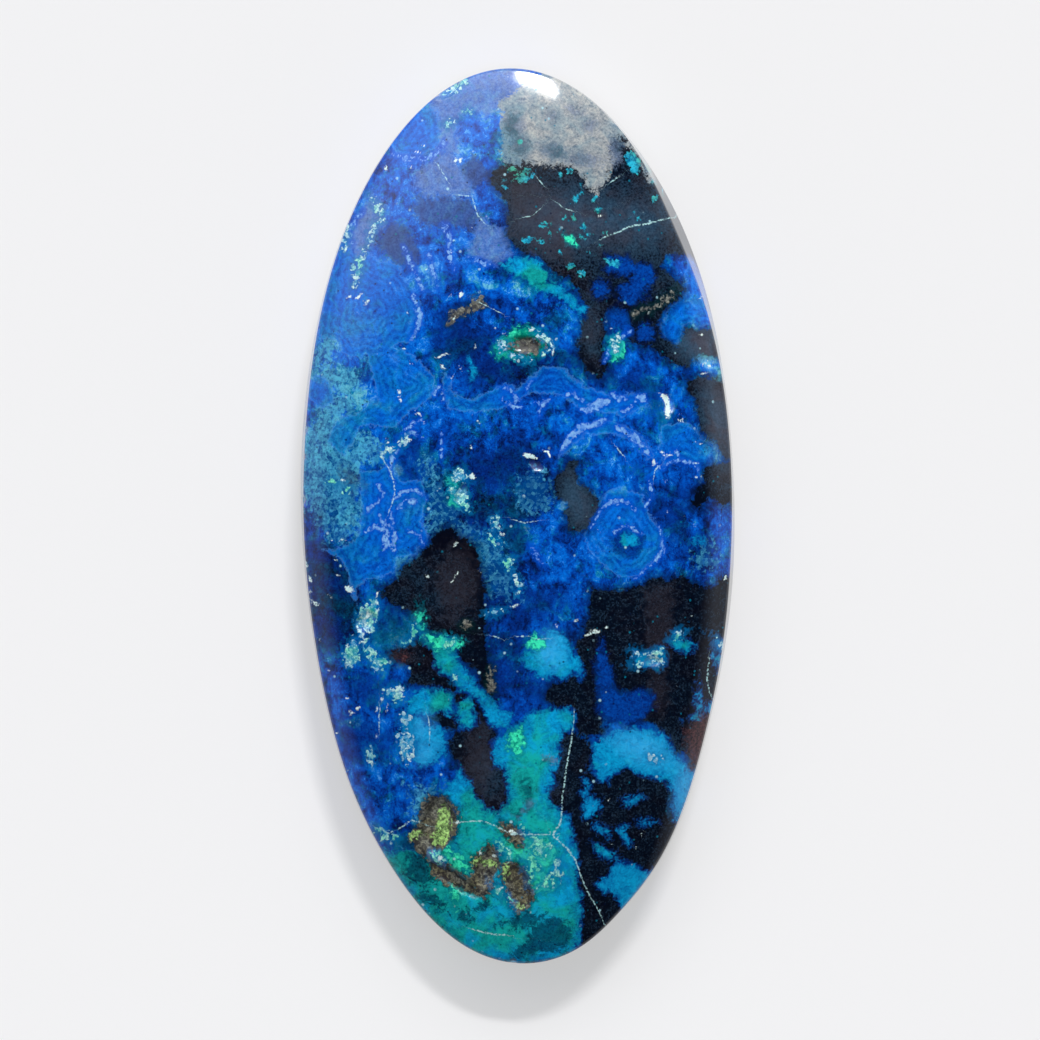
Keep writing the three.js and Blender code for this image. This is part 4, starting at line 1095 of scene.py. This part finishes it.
@dataclass
class Markings:
    """Measures the markings at each vertex and keeps them on the mesh for the stone's material.

    Below the face the zones wander sideways, by up to the drift for each millimetre down. Each warp is a
    number of ripples per millimetre, how far they move the pattern, and a seed.
    """

    face_foot: float = 2.7
    drift: float = 0.75
    drift_scale: float = 0.42
    drift_seed: float = 53.0
    spread: float = 0.0024
    true_level: float = 0.5
    far: float = 1.5
    warps: tuple[tuple[float, float, float], ...] = (
        (0.9, 0.16, 11.0), (2.6, 0.09, 18.0), (6.0, 0.05, 25.0),
    )
    vein_warp: float = 0.4
    vein_taper: float = 0.7
    vein_reach: float = 0.3

    def seen(self, places: Array) -> Array:
        """Returns where each vertex lies in the pattern: the zones open out a little towards the face."""
        return places[:, :2] * (1 + self.spread * (places[:, 2:] - self.true_level))

    def warped(self, places: Array) -> Array:
        """Follows the uneven growth of the minerals.

        Args:
            places: Vertices in millimetres.

        Returns:
            Where each vertex lies in the pattern.
        """
        below = np.clip(self.face_foot - places[:, 2:], 0, None)
        wander = ripple(places, self.drift_scale, self.drift_seed)[:, :2]
        moved = self.seen(places) + self.drift * below * wander
        for scale, amount, seed in self.warps:
            moved = moved + amount * ripple(places, scale, seed)[:, :2]
        return moved

    def depth(self, shapes: tuple[Shape, ...], places: Array) -> Array:
        """Measures one mineral.

        Args:
            shapes: The mineral's shapes.
            places: Pattern places of the vertices.

        Returns:
            How far inside the nearest shape each vertex is, in millimetres, and below 0 outside.
        """
        best = np.full(len(places), -self.far)
        for shape in shapes:
            left, right, low, high = shape.reach()
            near = (
                (places[:, 0] > left - self.far) & (places[:, 0] < right + self.far)
                & (places[:, 1] > low - self.far) & (places[:, 1] < high + self.far)
            )
            best[near] = np.maximum(best[near], shape.depth(places[near]))
        return best

    def veins(self, places: Array) -> tuple[Array, Array]:
        """Measures the thin quartz veins.

        Args:
            places: Pattern places of the vertices.

        Returns:
            The signed distance to the nearest vein, which the material can follow between vertices, and the
            vein's width there, which is 0 away from it.
        """
        best, signed = np.full(len(places), np.inf), np.full(len(places), 1.0)
        width = np.zeros(len(places))
        for vein in VEINS:
            away, share, side = vein.nearest(places)
            closer = away < best
            best = np.where(closer, away, best)
            signed = np.where(closer, away * side, signed)
            ends = vein.width * (1 - self.vein_taper * (2 * share - 1) ** 4)
            width = np.where(closer, np.where(away < self.vein_reach, ends, 0), width)
        return signed, width

    def keep(self, mesh: bpy.types.Mesh, name: str, values: Array) -> None:
        """Stores one value for each vertex under a name."""
        attribute = mesh.attributes.new(name, "FLOAT", "POINT")
        attribute.data.foreach_set("value", values.astype(np.float32))

    def mark(self, stone: bpy.types.Object) -> None:
        """Writes every marking on the stone's mesh.

        Args:
            stone: The stone, with its mesh in place.
        """
        mesh = stone.data
        flat = np.empty(len(mesh.vertices) * 3)
        mesh.vertices.foreach_get("co", flat)
        places = flat.reshape(-1, 3) / MM
        warped = self.warped(places)
        for mineral, shapes in MARKINGS.items():
            self.keep(mesh, mineral.value, self.depth(shapes, warped))
        signed, width = self.veins(self.seen(places) * (1 - self.vein_warp) + warped * self.vein_warp)
        self.keep(mesh, "vein_side", signed)
        self.keep(mesh, "vein_width", width)
        self.keep(mesh, "tone", sum(wash.value(warped) for wash in TONES))
        self.keep(mesh, "greening", sum(wash.value(warped) for wash in GREENING))


def linear(red: int, green: int, blue: int) -> Colour:
    """Returns a colour given in the usual 0 to 255 screen values as the linear one that shaders take."""
    shares = (channel / 255 for channel in (red, green, blue))
    return tuple(s / 12.92 if s <= 0.04045 else ((s + 0.055) / 1.055) ** 2.4 for s in shares)


@dataclass(frozen=True)
class Tint:
    """How one mineral looks.

    It has a dark and a light colour, and may have a second pair for the greener or browner parts. The cover
    is its share over what lies below, the edge and the fray are in millimetres, and crisp is the share of
    fine grain. The span says how far the grain runs between the two colours, toned how far the tone washes
    show in it, and swell how much lighter it gets from its edge to its middle. The tone washes are the
    stone's own light and dark parts, and on the black near the top end partly painted reflection of the
    bright far side. Bands follow its outline, a line runs along its edge, and a halo stains the stone beside
    it. A blocky mineral lies in crumbs that each reach out or fall back by up to that many millimetres.
    """

    dark: Colour
    light: Colour
    other: tuple[Colour, Colour] | None = None
    cover: float = 1.0
    edge: float = 0.08
    fray: float = 0.12
    crisp: float = 1.0
    span: tuple[float, float] = (0.0, 1.0)
    toned: float = 0.3
    swell: float = 0.0
    bands: float = 0.0
    line: float = 0.0
    blocky: float = 0.0
    halo: Colour | None = None
    stain: float = 0.5
    lift: float = 0.0
    rough: float = 0.0


TINTS: dict[Mineral, Tint] = {
    Mineral.NAVY: Tint(linear(0, 18, 80), linear(0, 62, 166), (linear(0, 26, 54), linear(0, 90, 130)),
                       cover=0.7, edge=0.6, fray=0.5),
    Mineral.MOTTLE: Tint(linear(0, 70, 142), linear(84, 188, 224), cover=0.78, edge=0.3, fray=0.45,
                         crisp=0.6, span=(-0.2, 1.0), toned=0.8, blocky=0.12),
    Mineral.PALE: Tint(linear(0, 68, 178), linear(4, 122, 232), (linear(0, 84, 160), linear(20, 146, 210)),
                       cover=0.78, edge=0.14, fray=0.12, crisp=0.6, bands=0.3, line=0.6),
    # Partly purple-grey stone, partly painted reflection of the bright far side near the top end.
    Mineral.LILAC: Tint(linear(46, 88, 164), linear(118, 150, 202), cover=0.7, edge=0.4, fray=0.25,
                        line=0.4),
    Mineral.SLATE: Tint(linear(22, 46, 104), linear(60, 92, 148), cover=0.75, edge=0.3, fray=0.25),
    # toned lets the tone washes lighten this black; near the top end that lift is partly painted reflection.
    Mineral.TENORITE: Tint(linear(0, 8, 26), linear(80, 120, 154), (linear(4, 4, 18), linear(92, 98, 118)),
                           edge=0.1, fray=0.16, crisp=1.2, span=(-0.13, 0.16), toned=0.5,
                           halo=linear(0, 22, 58)),
    Mineral.UMBER: Tint(linear(8, 8, 20), linear(84, 80, 92), cover=0.5, edge=0.6, fray=0.35,
                        span=(0.1, 0.5), toned=0.46),
    Mineral.CAP: Tint(linear(88, 104, 122), linear(192, 194, 190),
                      (linear(60, 100, 130), linear(130, 160, 170)), cover=0.94, edge=0.2, fray=0.26,
                      crisp=0.6, span=(0.0, 1.1)),
    Mineral.ISLAND: Tint(linear(0, 26, 100), linear(0, 78, 180), edge=0.2, fray=0.2, halo=linear(0, 24, 78),
                         stain=0.3),
    Mineral.TURQUOISE: Tint(linear(0, 78, 158), linear(10, 178, 232),
                            (linear(0, 74, 94), linear(20, 184, 178)), edge=0.2, fray=0.2, crisp=0.5,
                            swell=0.4, halo=linear(0, 58, 140), stain=0.22),
    Mineral.GLOW: Tint(linear(0, 140, 232), linear(84, 190, 250), cover=0.5, edge=0.9, fray=0.15,
                       crisp=0.4),
    Mineral.MURK: Tint(linear(58, 74, 104), linear(120, 140, 168), (linear(0, 26, 50), linear(0, 84, 108)),
                       cover=0.75, edge=0.3, fray=0.3),
    Mineral.DEEP: Tint(linear(0, 24, 56), linear(0, 92, 124), cover=0.85, edge=0.24, fray=0.3),
    Mineral.EMERALD: Tint(linear(0, 146, 126), linear(64, 250, 198), cover=0.96, edge=0.16, fray=0.14,
                          crisp=0.7, span=(0.0, 1.2), toned=0.7, blocky=0.12, halo=linear(0, 110, 130),
                          stain=0.3),
    Mineral.CRUMB: Tint(linear(0, 92, 140), linear(44, 184, 214), (linear(0, 96, 96), linear(70, 176, 150)),
                        edge=0.06, fray=0.1, crisp=1.3, span=(-0.1, 1.1), toned=0.0, blocky=0.06),
    Mineral.MATRIX: Tint(linear(20, 22, 30), linear(136, 140, 130),
                         (linear(18, 8, 18), linear(130, 126, 92)), edge=0.1, fray=0.12, crisp=1.4,
                         span=(-0.6, 0.9), swell=0.5, blocky=0.1, halo=linear(0, 40, 44), stain=0.3,
                         lift=0.5, rough=0.5),
    Mineral.LIME: Tint(linear(60, 96, 40), linear(192, 244, 140), edge=0.1, fray=0.1, crisp=1.4,
                       span=(-0.2, 1.2), blocky=0.1, lift=0.5, rough=0.5),
    Mineral.RUSSET: Tint(linear(26, 16, 26), linear(96, 60, 62), cover=0.9, edge=0.4, fray=0.3, crisp=1.6),
    Mineral.FROST: Tint(linear(0, 104, 214), linear(150, 204, 250), cover=0.8, edge=0.08, fray=0.07,
                        crisp=0.6, blocky=0.05, halo=linear(0, 80, 205), stain=0.25),
    Mineral.MINT: Tint(linear(0, 146, 204), linear(220, 250, 244),
                       (linear(0, 158, 150), linear(132, 252, 208)), cover=0.95, edge=0.06, fray=0.1,
                       crisp=0.8, span=(-0.9, 1.3), toned=0.0, blocky=0.15, halo=linear(0, 112, 176),
                       stain=0.35, lift=0.25, rough=0.25),
    # Partly pale mineral, partly painted glints of small pits.
    Mineral.WHITE: Tint(linear(168, 226, 236), linear(240, 255, 250), edge=0.05, fray=0.07, span=(0.3, 1.2),
                        lift=0.1),
}
RIM_LINE = linear(96, 168, 246)
CLOUD_LOW, CLOUD_HIGH = 0.36, 0.64  # most of a cloud texture lies between these


class Bench:
    """Adds shader nodes to one material or world and joins them up."""

    def __init__(self, owner: bpy.types.Material | bpy.types.World) -> None:
        """Starts with the owner's own node tree.

        Args:
            owner: A new material or world.
        """
        owner.use_nodes = True
        self.tree = owner.node_tree

    def put(self, value: Socket | float | Colour, socket: Socket) -> None:
        """Gives a socket a plain value, or joins it to another node's output.

        Args:
            value: The value or the output.
            socket: The input that takes it.
        """
        if isinstance(value, bpy.types.NodeSocket):
            self.tree.links.new(value, socket)
        elif isinstance(value, tuple):
            socket.default_value = (*value, 1.0)
        else:
            socket.default_value = value

    def maths(
        self, operation: str, first: Socket | float, second: Socket | float = 0.0, clamp: bool = False
    ) -> Socket:
        """Adds one sum.

        Args:
            operation: What is worked out.
            first: The first value.
            second: The second value, where the sum has one.
            clamp: Keeps the result from 0 to 1.

        Returns:
            The result.
        """
        node = self.tree.nodes.new("ShaderNodeMath")
        node.operation, node.use_clamp = operation, clamp
        self.put(first, node.inputs[0])
        self.put(second, node.inputs[1])
        return node.outputs[0]

    def blend(self, share: Socket | float, below: Socket | Colour, above: Socket | Colour) -> Socket:
        """Lays one colour over another.

        Args:
            share: How far the upper one covers the lower, from 0 to 1.
            below: The lower colour.
            above: The upper colour.

        Returns:
            The mixed colour.
        """
        node = self.tree.nodes.new("ShaderNodeMix")
        node.data_type = "RGBA"
        self.put(share, node.inputs[0])
        self.put(below, node.inputs[6])
        self.put(above, node.inputs[7])
        return node.outputs[2]

    def between(
        self, value: Socket, low: float, high: float, start: float = 0.0, end: float = 1.0
    ) -> Socket:
        """Rescales a value and keeps it within its new limits.

        Args:
            value: The value.
            low: Where it gives the start.
            high: Where it gives the end.
            start: The result at and below low.
            end: The result at and above high.

        Returns:
            The rescaled value.
        """
        node = self.tree.nodes.new("ShaderNodeMapRange")
        for index, number in enumerate((low, high, start, end), 1):
            node.inputs[index].default_value = number
        self.put(value, node.inputs[0])
        return node.outputs[0]

    def attribute(self, name: str) -> Socket:
        """Reads what the mesh carries at each vertex.

        Args:
            name: The marking's name.

        Returns:
            Its value.
        """
        node = self.tree.nodes.new("ShaderNodeAttribute")
        node.attribute_name = name
        return node.outputs["Fac"]

    def millimetres(self, stretch: float = 1.0) -> Socket:
        """Finds the place on the stone.

        Args:
            stretch: How far the textures read there are drawn out along the stone.

        Returns:
            The place in millimetres.
        """
        place = self.tree.nodes.new("ShaderNodeTexCoord")
        node = self.tree.nodes.new("ShaderNodeMapping")
        node.inputs["Scale"].default_value = (1 / MM, 1 / MM / stretch, 1 / MM)
        self.tree.links.new(place.outputs["Object"], node.inputs["Vector"])
        return node.outputs[0]

    def grain(
        self, place: Socket, scale: float, detail: float, rough: float, bend: float = 0.0
    ) -> list[Socket]:
        """Adds one cloud texture.

        Args:
            place: Where it is read, in millimetres.
            scale: Clouds per millimetre.
            detail: How many finer octaves it has.
            rough: How strong they are.
            bend: How far they are stirred.

        Returns:
            Three unlike values, each about 0.5 on average.
        """
        node = self.tree.nodes.new("ShaderNodeTexNoise")
        settings = {"Scale": scale, "Detail": detail, "Roughness": rough, "Distortion": bend}
        for name, value in settings.items():
            node.inputs[name].default_value = value
        self.tree.links.new(place, node.inputs["Vector"])
        split = self.tree.nodes.new("ShaderNodeSeparateColor")
        self.tree.links.new(node.outputs["Color"], split.inputs[0])
        return list(split.outputs)

    def swing(self, cloud: Socket, share: float) -> Socket:
        """Returns a cloud as a strong swing to both sides of nothing, up to a share."""
        return self.between(cloud, CLOUD_LOW, CLOUD_HIGH, -share, share)

    def ridge(self, cloud: Socket, width: float) -> Socket:
        """Returns thin winding lines, 1 at their middle, where a cloud passes its average."""
        away = self.maths("ABSOLUTE", self.maths("SUBTRACT", cloud, 0.5))
        return self.between(away, 0.0, width, 1.0, 0.0)

    def cells(self, place: Socket, scale: float) -> tuple[Socket, list[Socket]]:
        """Scatters points.

        Args:
            place: Where they are read, in millimetres.
            scale: Points per millimetre.

        Returns:
            The distance to the nearest point, and three random numbers that belong to that point.
        """
        node = self.tree.nodes.new("ShaderNodeTexVoronoi")
        node.inputs["Scale"].default_value = scale
        self.tree.links.new(place, node.inputs["Vector"])
        split = self.tree.nodes.new("ShaderNodeSeparateColor")
        self.tree.links.new(node.outputs["Color"], split.inputs[0])
        return node.outputs["Distance"], list(split.outputs)

    def ramp(self, value: Socket, *stops: tuple[float, Colour]) -> Socket:
        """Gives a value its colour.

        Args:
            value: The value, from 0 to 1.
            stops: Places on the scale with their colours, in order.

        Returns:
            The colour between the two stops on either side of the value.
        """
        node = self.tree.nodes.new("ShaderNodeValToRGB")
        for _ in stops[2:]:
            node.color_ramp.elements.new(0.5)
        for element, (position, colour) in zip(node.color_ramp.elements, stops):
            element.position, element.color = position, (*colour, 1.0)
        self.put(value, node.inputs[0])
        return node.outputs[0]


@dataclass(frozen=True)
class Clouds:
    """The textures that the minerals share, each with three unlike values.

    Coarse, middle and fine are clouds from about a millimetre down to a tenth, brushed is drawn out along the
    stone, and crumbs are small cells that each hold random numbers.
    """

    coarse: list[Socket]
    middle: list[Socket]
    fine: list[Socket]
    brushed: list[Socket]
    crumbs: list[Socket]


@dataclass(frozen=True)
class PolishedStone:
    """The finish of the whole stone: azurite below, the other minerals laid over it, and a glassy polish.

    Each kind of speck has a number per millimetre, a share of them that shows, and a colour.
    """

    polish: float = 0.07
    polish_swing: float = 0.05
    pocket_dullness: float = 0.5
    index: float = 1.62
    relief: float = 0.12
    relief_strength: float = 0.6
    drawn_out: float = 2.2
    crumbs_per_mm: float = 6.0
    crumb_contrast: float = 0.4
    rough_fray: float = 0.8
    small_fray: float = 0.3
    swell_reach: float = 1.2
    swell_start: float = -0.04
    band_rate: float = 19.0
    line_reach: tuple[float, float] = (0.01, 0.08)
    halo_cover: float = 0.8
    vein_colour: Colour = linear(176, 222, 226)
    specks: tuple[tuple[float, float, Colour], ...] = (
        (3.1, 0.025, linear(170, 220, 235)),
        (4.2, 0.05, linear(0, 112, 140)),
        (4.7, 0.04, linear(0, 16, 50)),
    )

    def azurite(self, bench: Bench, clouds: Clouds) -> Socket:
        """Makes the blue ground, from navy to pale azurite, with its greener and mottled parts.

        Args:
            bench: Where the nodes are added.
            clouds: The textures that it is made from.

        Returns:
            The colour of the ground.
        """
        tone = bench.attribute("tone")
        swings = (
            (clouds.coarse[0], 0.34),
            (clouds.middle[0], 0.22),
            (clouds.fine[0], 0.12),
            (clouds.brushed[0], 0.2),
        )
        for cloud, share in swings:
            tone = bench.maths("ADD", tone, bench.swing(cloud, share))
        winding, straighter = bench.ridge(clouds.middle[2], 0.03), bench.ridge(clouds.brushed[1], 0.02)
        threads = bench.maths("ADD", winding, straighter)
        threads = bench.maths("MULTIPLY", threads, bench.between(clouds.coarse[2], 0.42, 0.58, 0.0, 0.4))
        tone = bench.maths("ADD", tone, threads)
        blue = bench.ramp(
            bench.between(tone, -1.0, 1.0),
            (0.0, linear(0, 8, 40)), (0.25, linear(0, 28, 88)), (0.45, linear(0, 60, 158)),
            (0.6, linear(0, 88, 200)), (0.8, linear(0, 122, 230)), (1.0, linear(104, 182, 242)),
        )
        teal = bench.ramp(
            bench.between(tone, -0.9, 0.9),
            (0.0, linear(0, 24, 50)), (0.4, linear(0, 80, 128)), (0.7, linear(8, 138, 178)),
            (1.0, linear(120, 208, 212)),
        )
        green = bench.maths("ADD", bench.attribute("greening"), bench.swing(clouds.coarse[1], 0.4))
        green = bench.maths("ADD", green, bench.swing(clouds.middle[1], 0.35))
        return bench.blend(bench.between(green, 0.1, 0.7, 0.0, 0.9), blue, teal)

    def laid(
        self, bench: Bench, clouds: Clouds, mineral: Mineral, below: Socket
    ) -> tuple[Socket, Socket, Socket]:
        """Lays one mineral over what is there.

        Args:
            bench: Where the nodes are added.
            clouds: The textures that it is made from.
            mineral: Which one.
            below: The colour so far.

        Returns:
            The colour with the mineral, its share at each place, and its grain from 0 to 1.
        """
        tint = TINTS[mineral]
        turn = list(TINTS).index(mineral)
        rough, small = clouds.middle[turn % 3], clouds.fine[turn % 3]
        stray = bench.maths(
            "ADD",
            bench.swing(rough, tint.fray * self.rough_fray),
            bench.swing(small, tint.fray * self.small_fray),
        )
        if tint.blocky:
            reach = bench.between(clouds.crumbs[turn % 3], 0.0, 1.0, -tint.blocky, tint.blocky)
            stray = bench.maths("ADD", stray, reach)
        depth = bench.maths("ADD", bench.attribute(mineral.value), stray)
        mask = bench.between(depth, -tint.edge / 2, tint.edge / 2, 0.0, tint.cover)
        finer = bench.maths("MULTIPLY", clouds.fine[(turn + 2) % 3], tint.crisp)
        texture = bench.maths("ADD", clouds.middle[(turn + 1) % 3], finer)
        mean, swing = 0.5 + 0.5 * tint.crisp, 0.2 + 0.08 * tint.crisp
        shade = bench.between(texture, mean - swing, mean + swing, *tint.span)
        toned = bench.maths("MULTIPLY", bench.attribute("tone"), tint.toned)
        shade = bench.maths("ADD", shade, toned, clamp=True)
        if tint.blocky:
            contrast = self.crumb_contrast
            uneven = bench.between(clouds.crumbs[turn % 3], 0.0, 1.0, -contrast, contrast)
            shade = bench.maths("ADD", shade, uneven, clamp=True)
        if tint.swell:
            lighter = bench.between(depth, 0.0, self.swell_reach, self.swell_start, tint.swell)
            shade = bench.maths("ADD", shade, lighter, clamp=True)
        if tint.bands:
            wave = bench.maths("SINE", bench.maths("MULTIPLY", depth, self.band_rate))
            shade = bench.maths("ADD", shade, bench.maths("MULTIPLY", wave, tint.bands), clamp=True)
        tone = bench.blend(shade, tint.dark, tint.light)
        if tint.other:
            share = bench.maths("ADD", bench.attribute("greening"), bench.swing(clouds.coarse[1], 0.45))
            tone = bench.blend(bench.between(share, -0.1, 0.8), tone, bench.blend(shade, *tint.other))
        if tint.line:
            rim = bench.between(bench.maths("ABSOLUTE", depth), *self.line_reach, tint.line, 0.0)
            tone = bench.blend(rim, tone, RIM_LINE)
        if tint.halo:
            stained = bench.between(depth, -tint.stain, 0.0, 0.0, self.halo_cover)
            below = bench.blend(stained, below, tint.halo)
        return bench.blend(mask, below, tone), mask, shade

    def speckled(self, bench: Bench, clouds: Clouds, place: Socket, below: Socket) -> Socket:
        """Scatters tiny specks over the stone.

        Args:
            bench: Where the nodes are added.
            clouds: The textures that gather the specks in places.
            place: Where on the stone, in millimetres.
            below: The colour so far.

        Returns:
            The colour with the specks.
        """
        for number, (size, share, tone) in enumerate(self.specks):
            distance, (chance, _, _) = bench.cells(place, size)
            near = bench.between(distance, 0.16, 0.3, 0.85, 0.0)
            gathered = bench.maths("ADD", chance, bench.swing(clouds.coarse[number % 3], share))
            rare = bench.between(gathered, 1.0 - share, 1.02 - share)
            below = bench.blend(bench.maths("MULTIPLY", near, rare), below, tone)
        return below

    def veined(self, bench: Bench, clouds: Clouds, below: Socket) -> Socket:
        """Lays the thin, beaded quartz veins over the stone.

        Args:
            bench: Where the nodes are added.
            clouds: The textures that part the beads.
            below: The colour so far.

        Returns:
            The colour with the veins.
        """
        away = bench.maths("ABSOLUTE", bench.attribute("vein_side"))
        beads = bench.between(clouds.fine[2], 0.46, 0.56, -0.2, 0.7)
        width = bench.maths("MULTIPLY", bench.attribute("vein_width"), beads)
        thread = bench.between(bench.maths("SUBTRACT", away, width), -0.015, 0.02, 0.9, 0.0)
        return bench.blend(thread, below, self.vein_colour)

    def material(self) -> bpy.types.Material:
        """Makes the whole finish.

        Returns:
            The finished material.
        """
        material = bpy.data.materials.new("polished_stone")
        bench = Bench(material)
        shader = bench.tree.nodes["Principled BSDF"]
        place = bench.millimetres()
        clouds = Clouds(
            coarse=bench.grain(place, scale=0.9, detail=4.0, rough=0.6, bend=0.6),
            middle=bench.grain(place, scale=2.8, detail=6.0, rough=0.68, bend=0.8),
            fine=bench.grain(place, scale=9.0, detail=2.0, rough=0.7),
            brushed=bench.grain(
                bench.millimetres(self.drawn_out), scale=2.6, detail=3.0, rough=0.6, bend=0.5
            ),
            crumbs=bench.cells(place, self.crumbs_per_mm)[1],
        )
        colour = self.azurite(bench, clouds)
        gloss_loss = bench.maths("MULTIPLY", bench.attribute("pocket"), self.pocket_dullness)
        height: Socket | float = 0.0
        for mineral, tint in TINTS.items():
            colour, mask, shade = self.laid(bench, clouds, mineral, colour)
            if tint.rough:
                gloss_loss = bench.maths("MAXIMUM", gloss_loss, bench.maths("MULTIPLY", mask, tint.rough))
            if tint.lift:
                crumb = bench.maths("MULTIPLY", mask, bench.maths("MULTIPLY", shade, tint.lift))
                height = bench.maths("ADD", height, crumb)
        colour = self.veined(bench, clouds, self.speckled(bench, clouds, place, colour))
        bench.put(colour, shader.inputs["Base Color"])
        polish = bench.between(clouds.fine[1], 0.35, 0.65, self.polish, self.polish + self.polish_swing)
        bench.put(bench.maths("ADD", gloss_loss, polish), shader.inputs["Roughness"])
        shader.inputs["IOR"].default_value = self.index
        bumps = bench.tree.nodes.new("ShaderNodeBump")
        bumps.inputs["Distance"].default_value = self.relief * MM
        bumps.inputs["Strength"].default_value = self.relief_strength
        bench.put(height, bumps.inputs["Height"])
        bench.put(bumps.outputs[0], shader.inputs["Normal"])
        return material


@dataclass
class Studio:
    """A plain pale table, soft light from the far side, and a camera straight above.

    Lengths are in millimetres and angles in degrees. The key is a fan of suns, each turned a little from the
    bearing of the middle.
    """

    frame_width: float = 53.51
    camera_height: float = 420.0
    aim_x: float = 0.13
    aim_y: float = -0.21
    table_size: float = 3000.0
    table_gap: float = 0.02
    table_colour: Colour = (0.38, 0.38, 0.39)
    table_glow: float = 0.525
    key_strength: float = 2.45
    key_softness: float = 4.0
    key_bearing: float = 15.0
    key_elevation: float = 42.0
    key_fan: tuple[float, ...] = (-9.0, -5.5, -2.0, 1.5, 5.0)
    key_colour: Colour = (1.0, 0.985, 0.96)
    room_colour: Colour = (0.93, 0.95, 1.0)
    room: float = 0.025
    far_haze: float = 1.35
    far_window: float = 2.6
    low_glow: float = 0.5

    def floor(self) -> bpy.types.Object:
        """Adds the table, a hair below the stone.

        Returns:
            The table's mesh object.
        """
        bpy.ops.object.select_all(action="DESELECT")
        bpy.ops.mesh.primitive_plane_add(size=self.table_size * MM, location=(0, 0, -self.table_gap * MM))
        table = bpy.context.object
        table.name = "table"
        material = bpy.data.materials.new("pale_table")
        material.use_nodes = True
        shader = material.node_tree.nodes["Principled BSDF"]
        shader.inputs["Base Color"].default_value = (*self.table_colour, 1)
        shader.inputs["Roughness"].default_value = 0.9
        shader.inputs["Emission Color"].default_value = (1, 1, 1, 1)
        shader.inputs["Emission Strength"].default_value = self.table_glow
        shader.inputs["Specular IOR Level"].default_value = 0.1
        table.data.materials.append(material)
        return table

    def lights(self) -> None:
        """Adds the soft key, as wide as a window, and the surroundings, and shows colours as they are."""
        for number, turned in enumerate(self.key_fan):
            sun = bpy.data.lights.new(f"key_{number}", "SUN")
            sun.energy = self.key_strength / len(self.key_fan)
            sun.angle = math.radians(self.key_softness)
            sun.color = self.key_colour
            holder = bpy.data.objects.new(sun.name, sun)
            turn, rise = math.radians(self.key_bearing + turned), math.radians(self.key_elevation)
            way = Vector((math.sin(turn) * math.cos(rise), math.cos(turn) * math.cos(rise), math.sin(rise)))
            holder.rotation_euler = way.to_track_quat("Z", "Y").to_euler()
            bpy.context.scene.collection.objects.link(holder)
        self.surroundings()
        bpy.context.scene.view_settings.view_transform = "Standard"

    def surroundings(self) -> None:
        """Adds the room: dim overhead, pale low down all round, and bright on the far side."""
        world = bpy.data.worlds.new("surroundings")
        bpy.context.scene.world = world
        bench = Bench(world)
        place = bench.tree.nodes.new("ShaderNodeTexCoord")
        split = bench.tree.nodes.new("ShaderNodeSeparateXYZ")
        bench.tree.links.new(place.outputs["Generated"], split.inputs[0])
        across, along, up = split.outputs
        leaning = bench.maths("ADD", along, bench.maths("MULTIPLY", across, -0.3))
        light = bench.between(leaning, 0.3, 0.6, self.room, self.room + self.far_haze)
        light = bench.maths("ADD", light, bench.between(along, 0.66, 0.8, 0.0, self.far_window))
        light = bench.maths("MULTIPLY", light, bench.between(up, 0.3, 0.5))
        light = bench.maths("ADD", light, bench.between(up, 0.3, 0.5, self.low_glow, 0.0))
        background = bench.tree.nodes["Background"]
        background.inputs["Color"].default_value = (*self.room_colour, 1)
        bench.put(light, background.inputs["Strength"])

    def camera(self) -> None:
        """Adds the camera, straight above the stone with +Y up in the picture."""
        data = bpy.data.cameras.new("camera")
        data.sensor_width = 36.0
        data.lens = data.sensor_width * self.camera_height / self.frame_width
        data.clip_start, data.clip_end = 0.01, 10
        camera = bpy.data.objects.new("camera", data)
        camera.location = (self.aim_x * MM, self.aim_y * MM, self.camera_height * MM)
        bpy.context.scene.collection.objects.link(camera)
        bpy.context.scene.camera = camera


def main() -> None:
    """Builds the camera and lights, the stone and its markings, and reports each piece."""
    logging.basicConfig(level=logging.INFO, format="%(message)s")
    noise.seed_set(RIPPLE_SEED)
    studio = Studio()
    studio.camera()
    studio.lights()
    studio.floor()
    stone = Cabochon().build()
    Markings().mark(stone)
    stone.data.materials.clear()
    stone.data.materials.append(PolishedStone().material())
    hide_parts("azurite_cabochon")
    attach(stone, "root")
    LOG.info("%s: %d vertices, %d faces", stone.name, len(stone.data.vertices), len(stone.data.polygons))


if __name__ == "__main__":
    main()
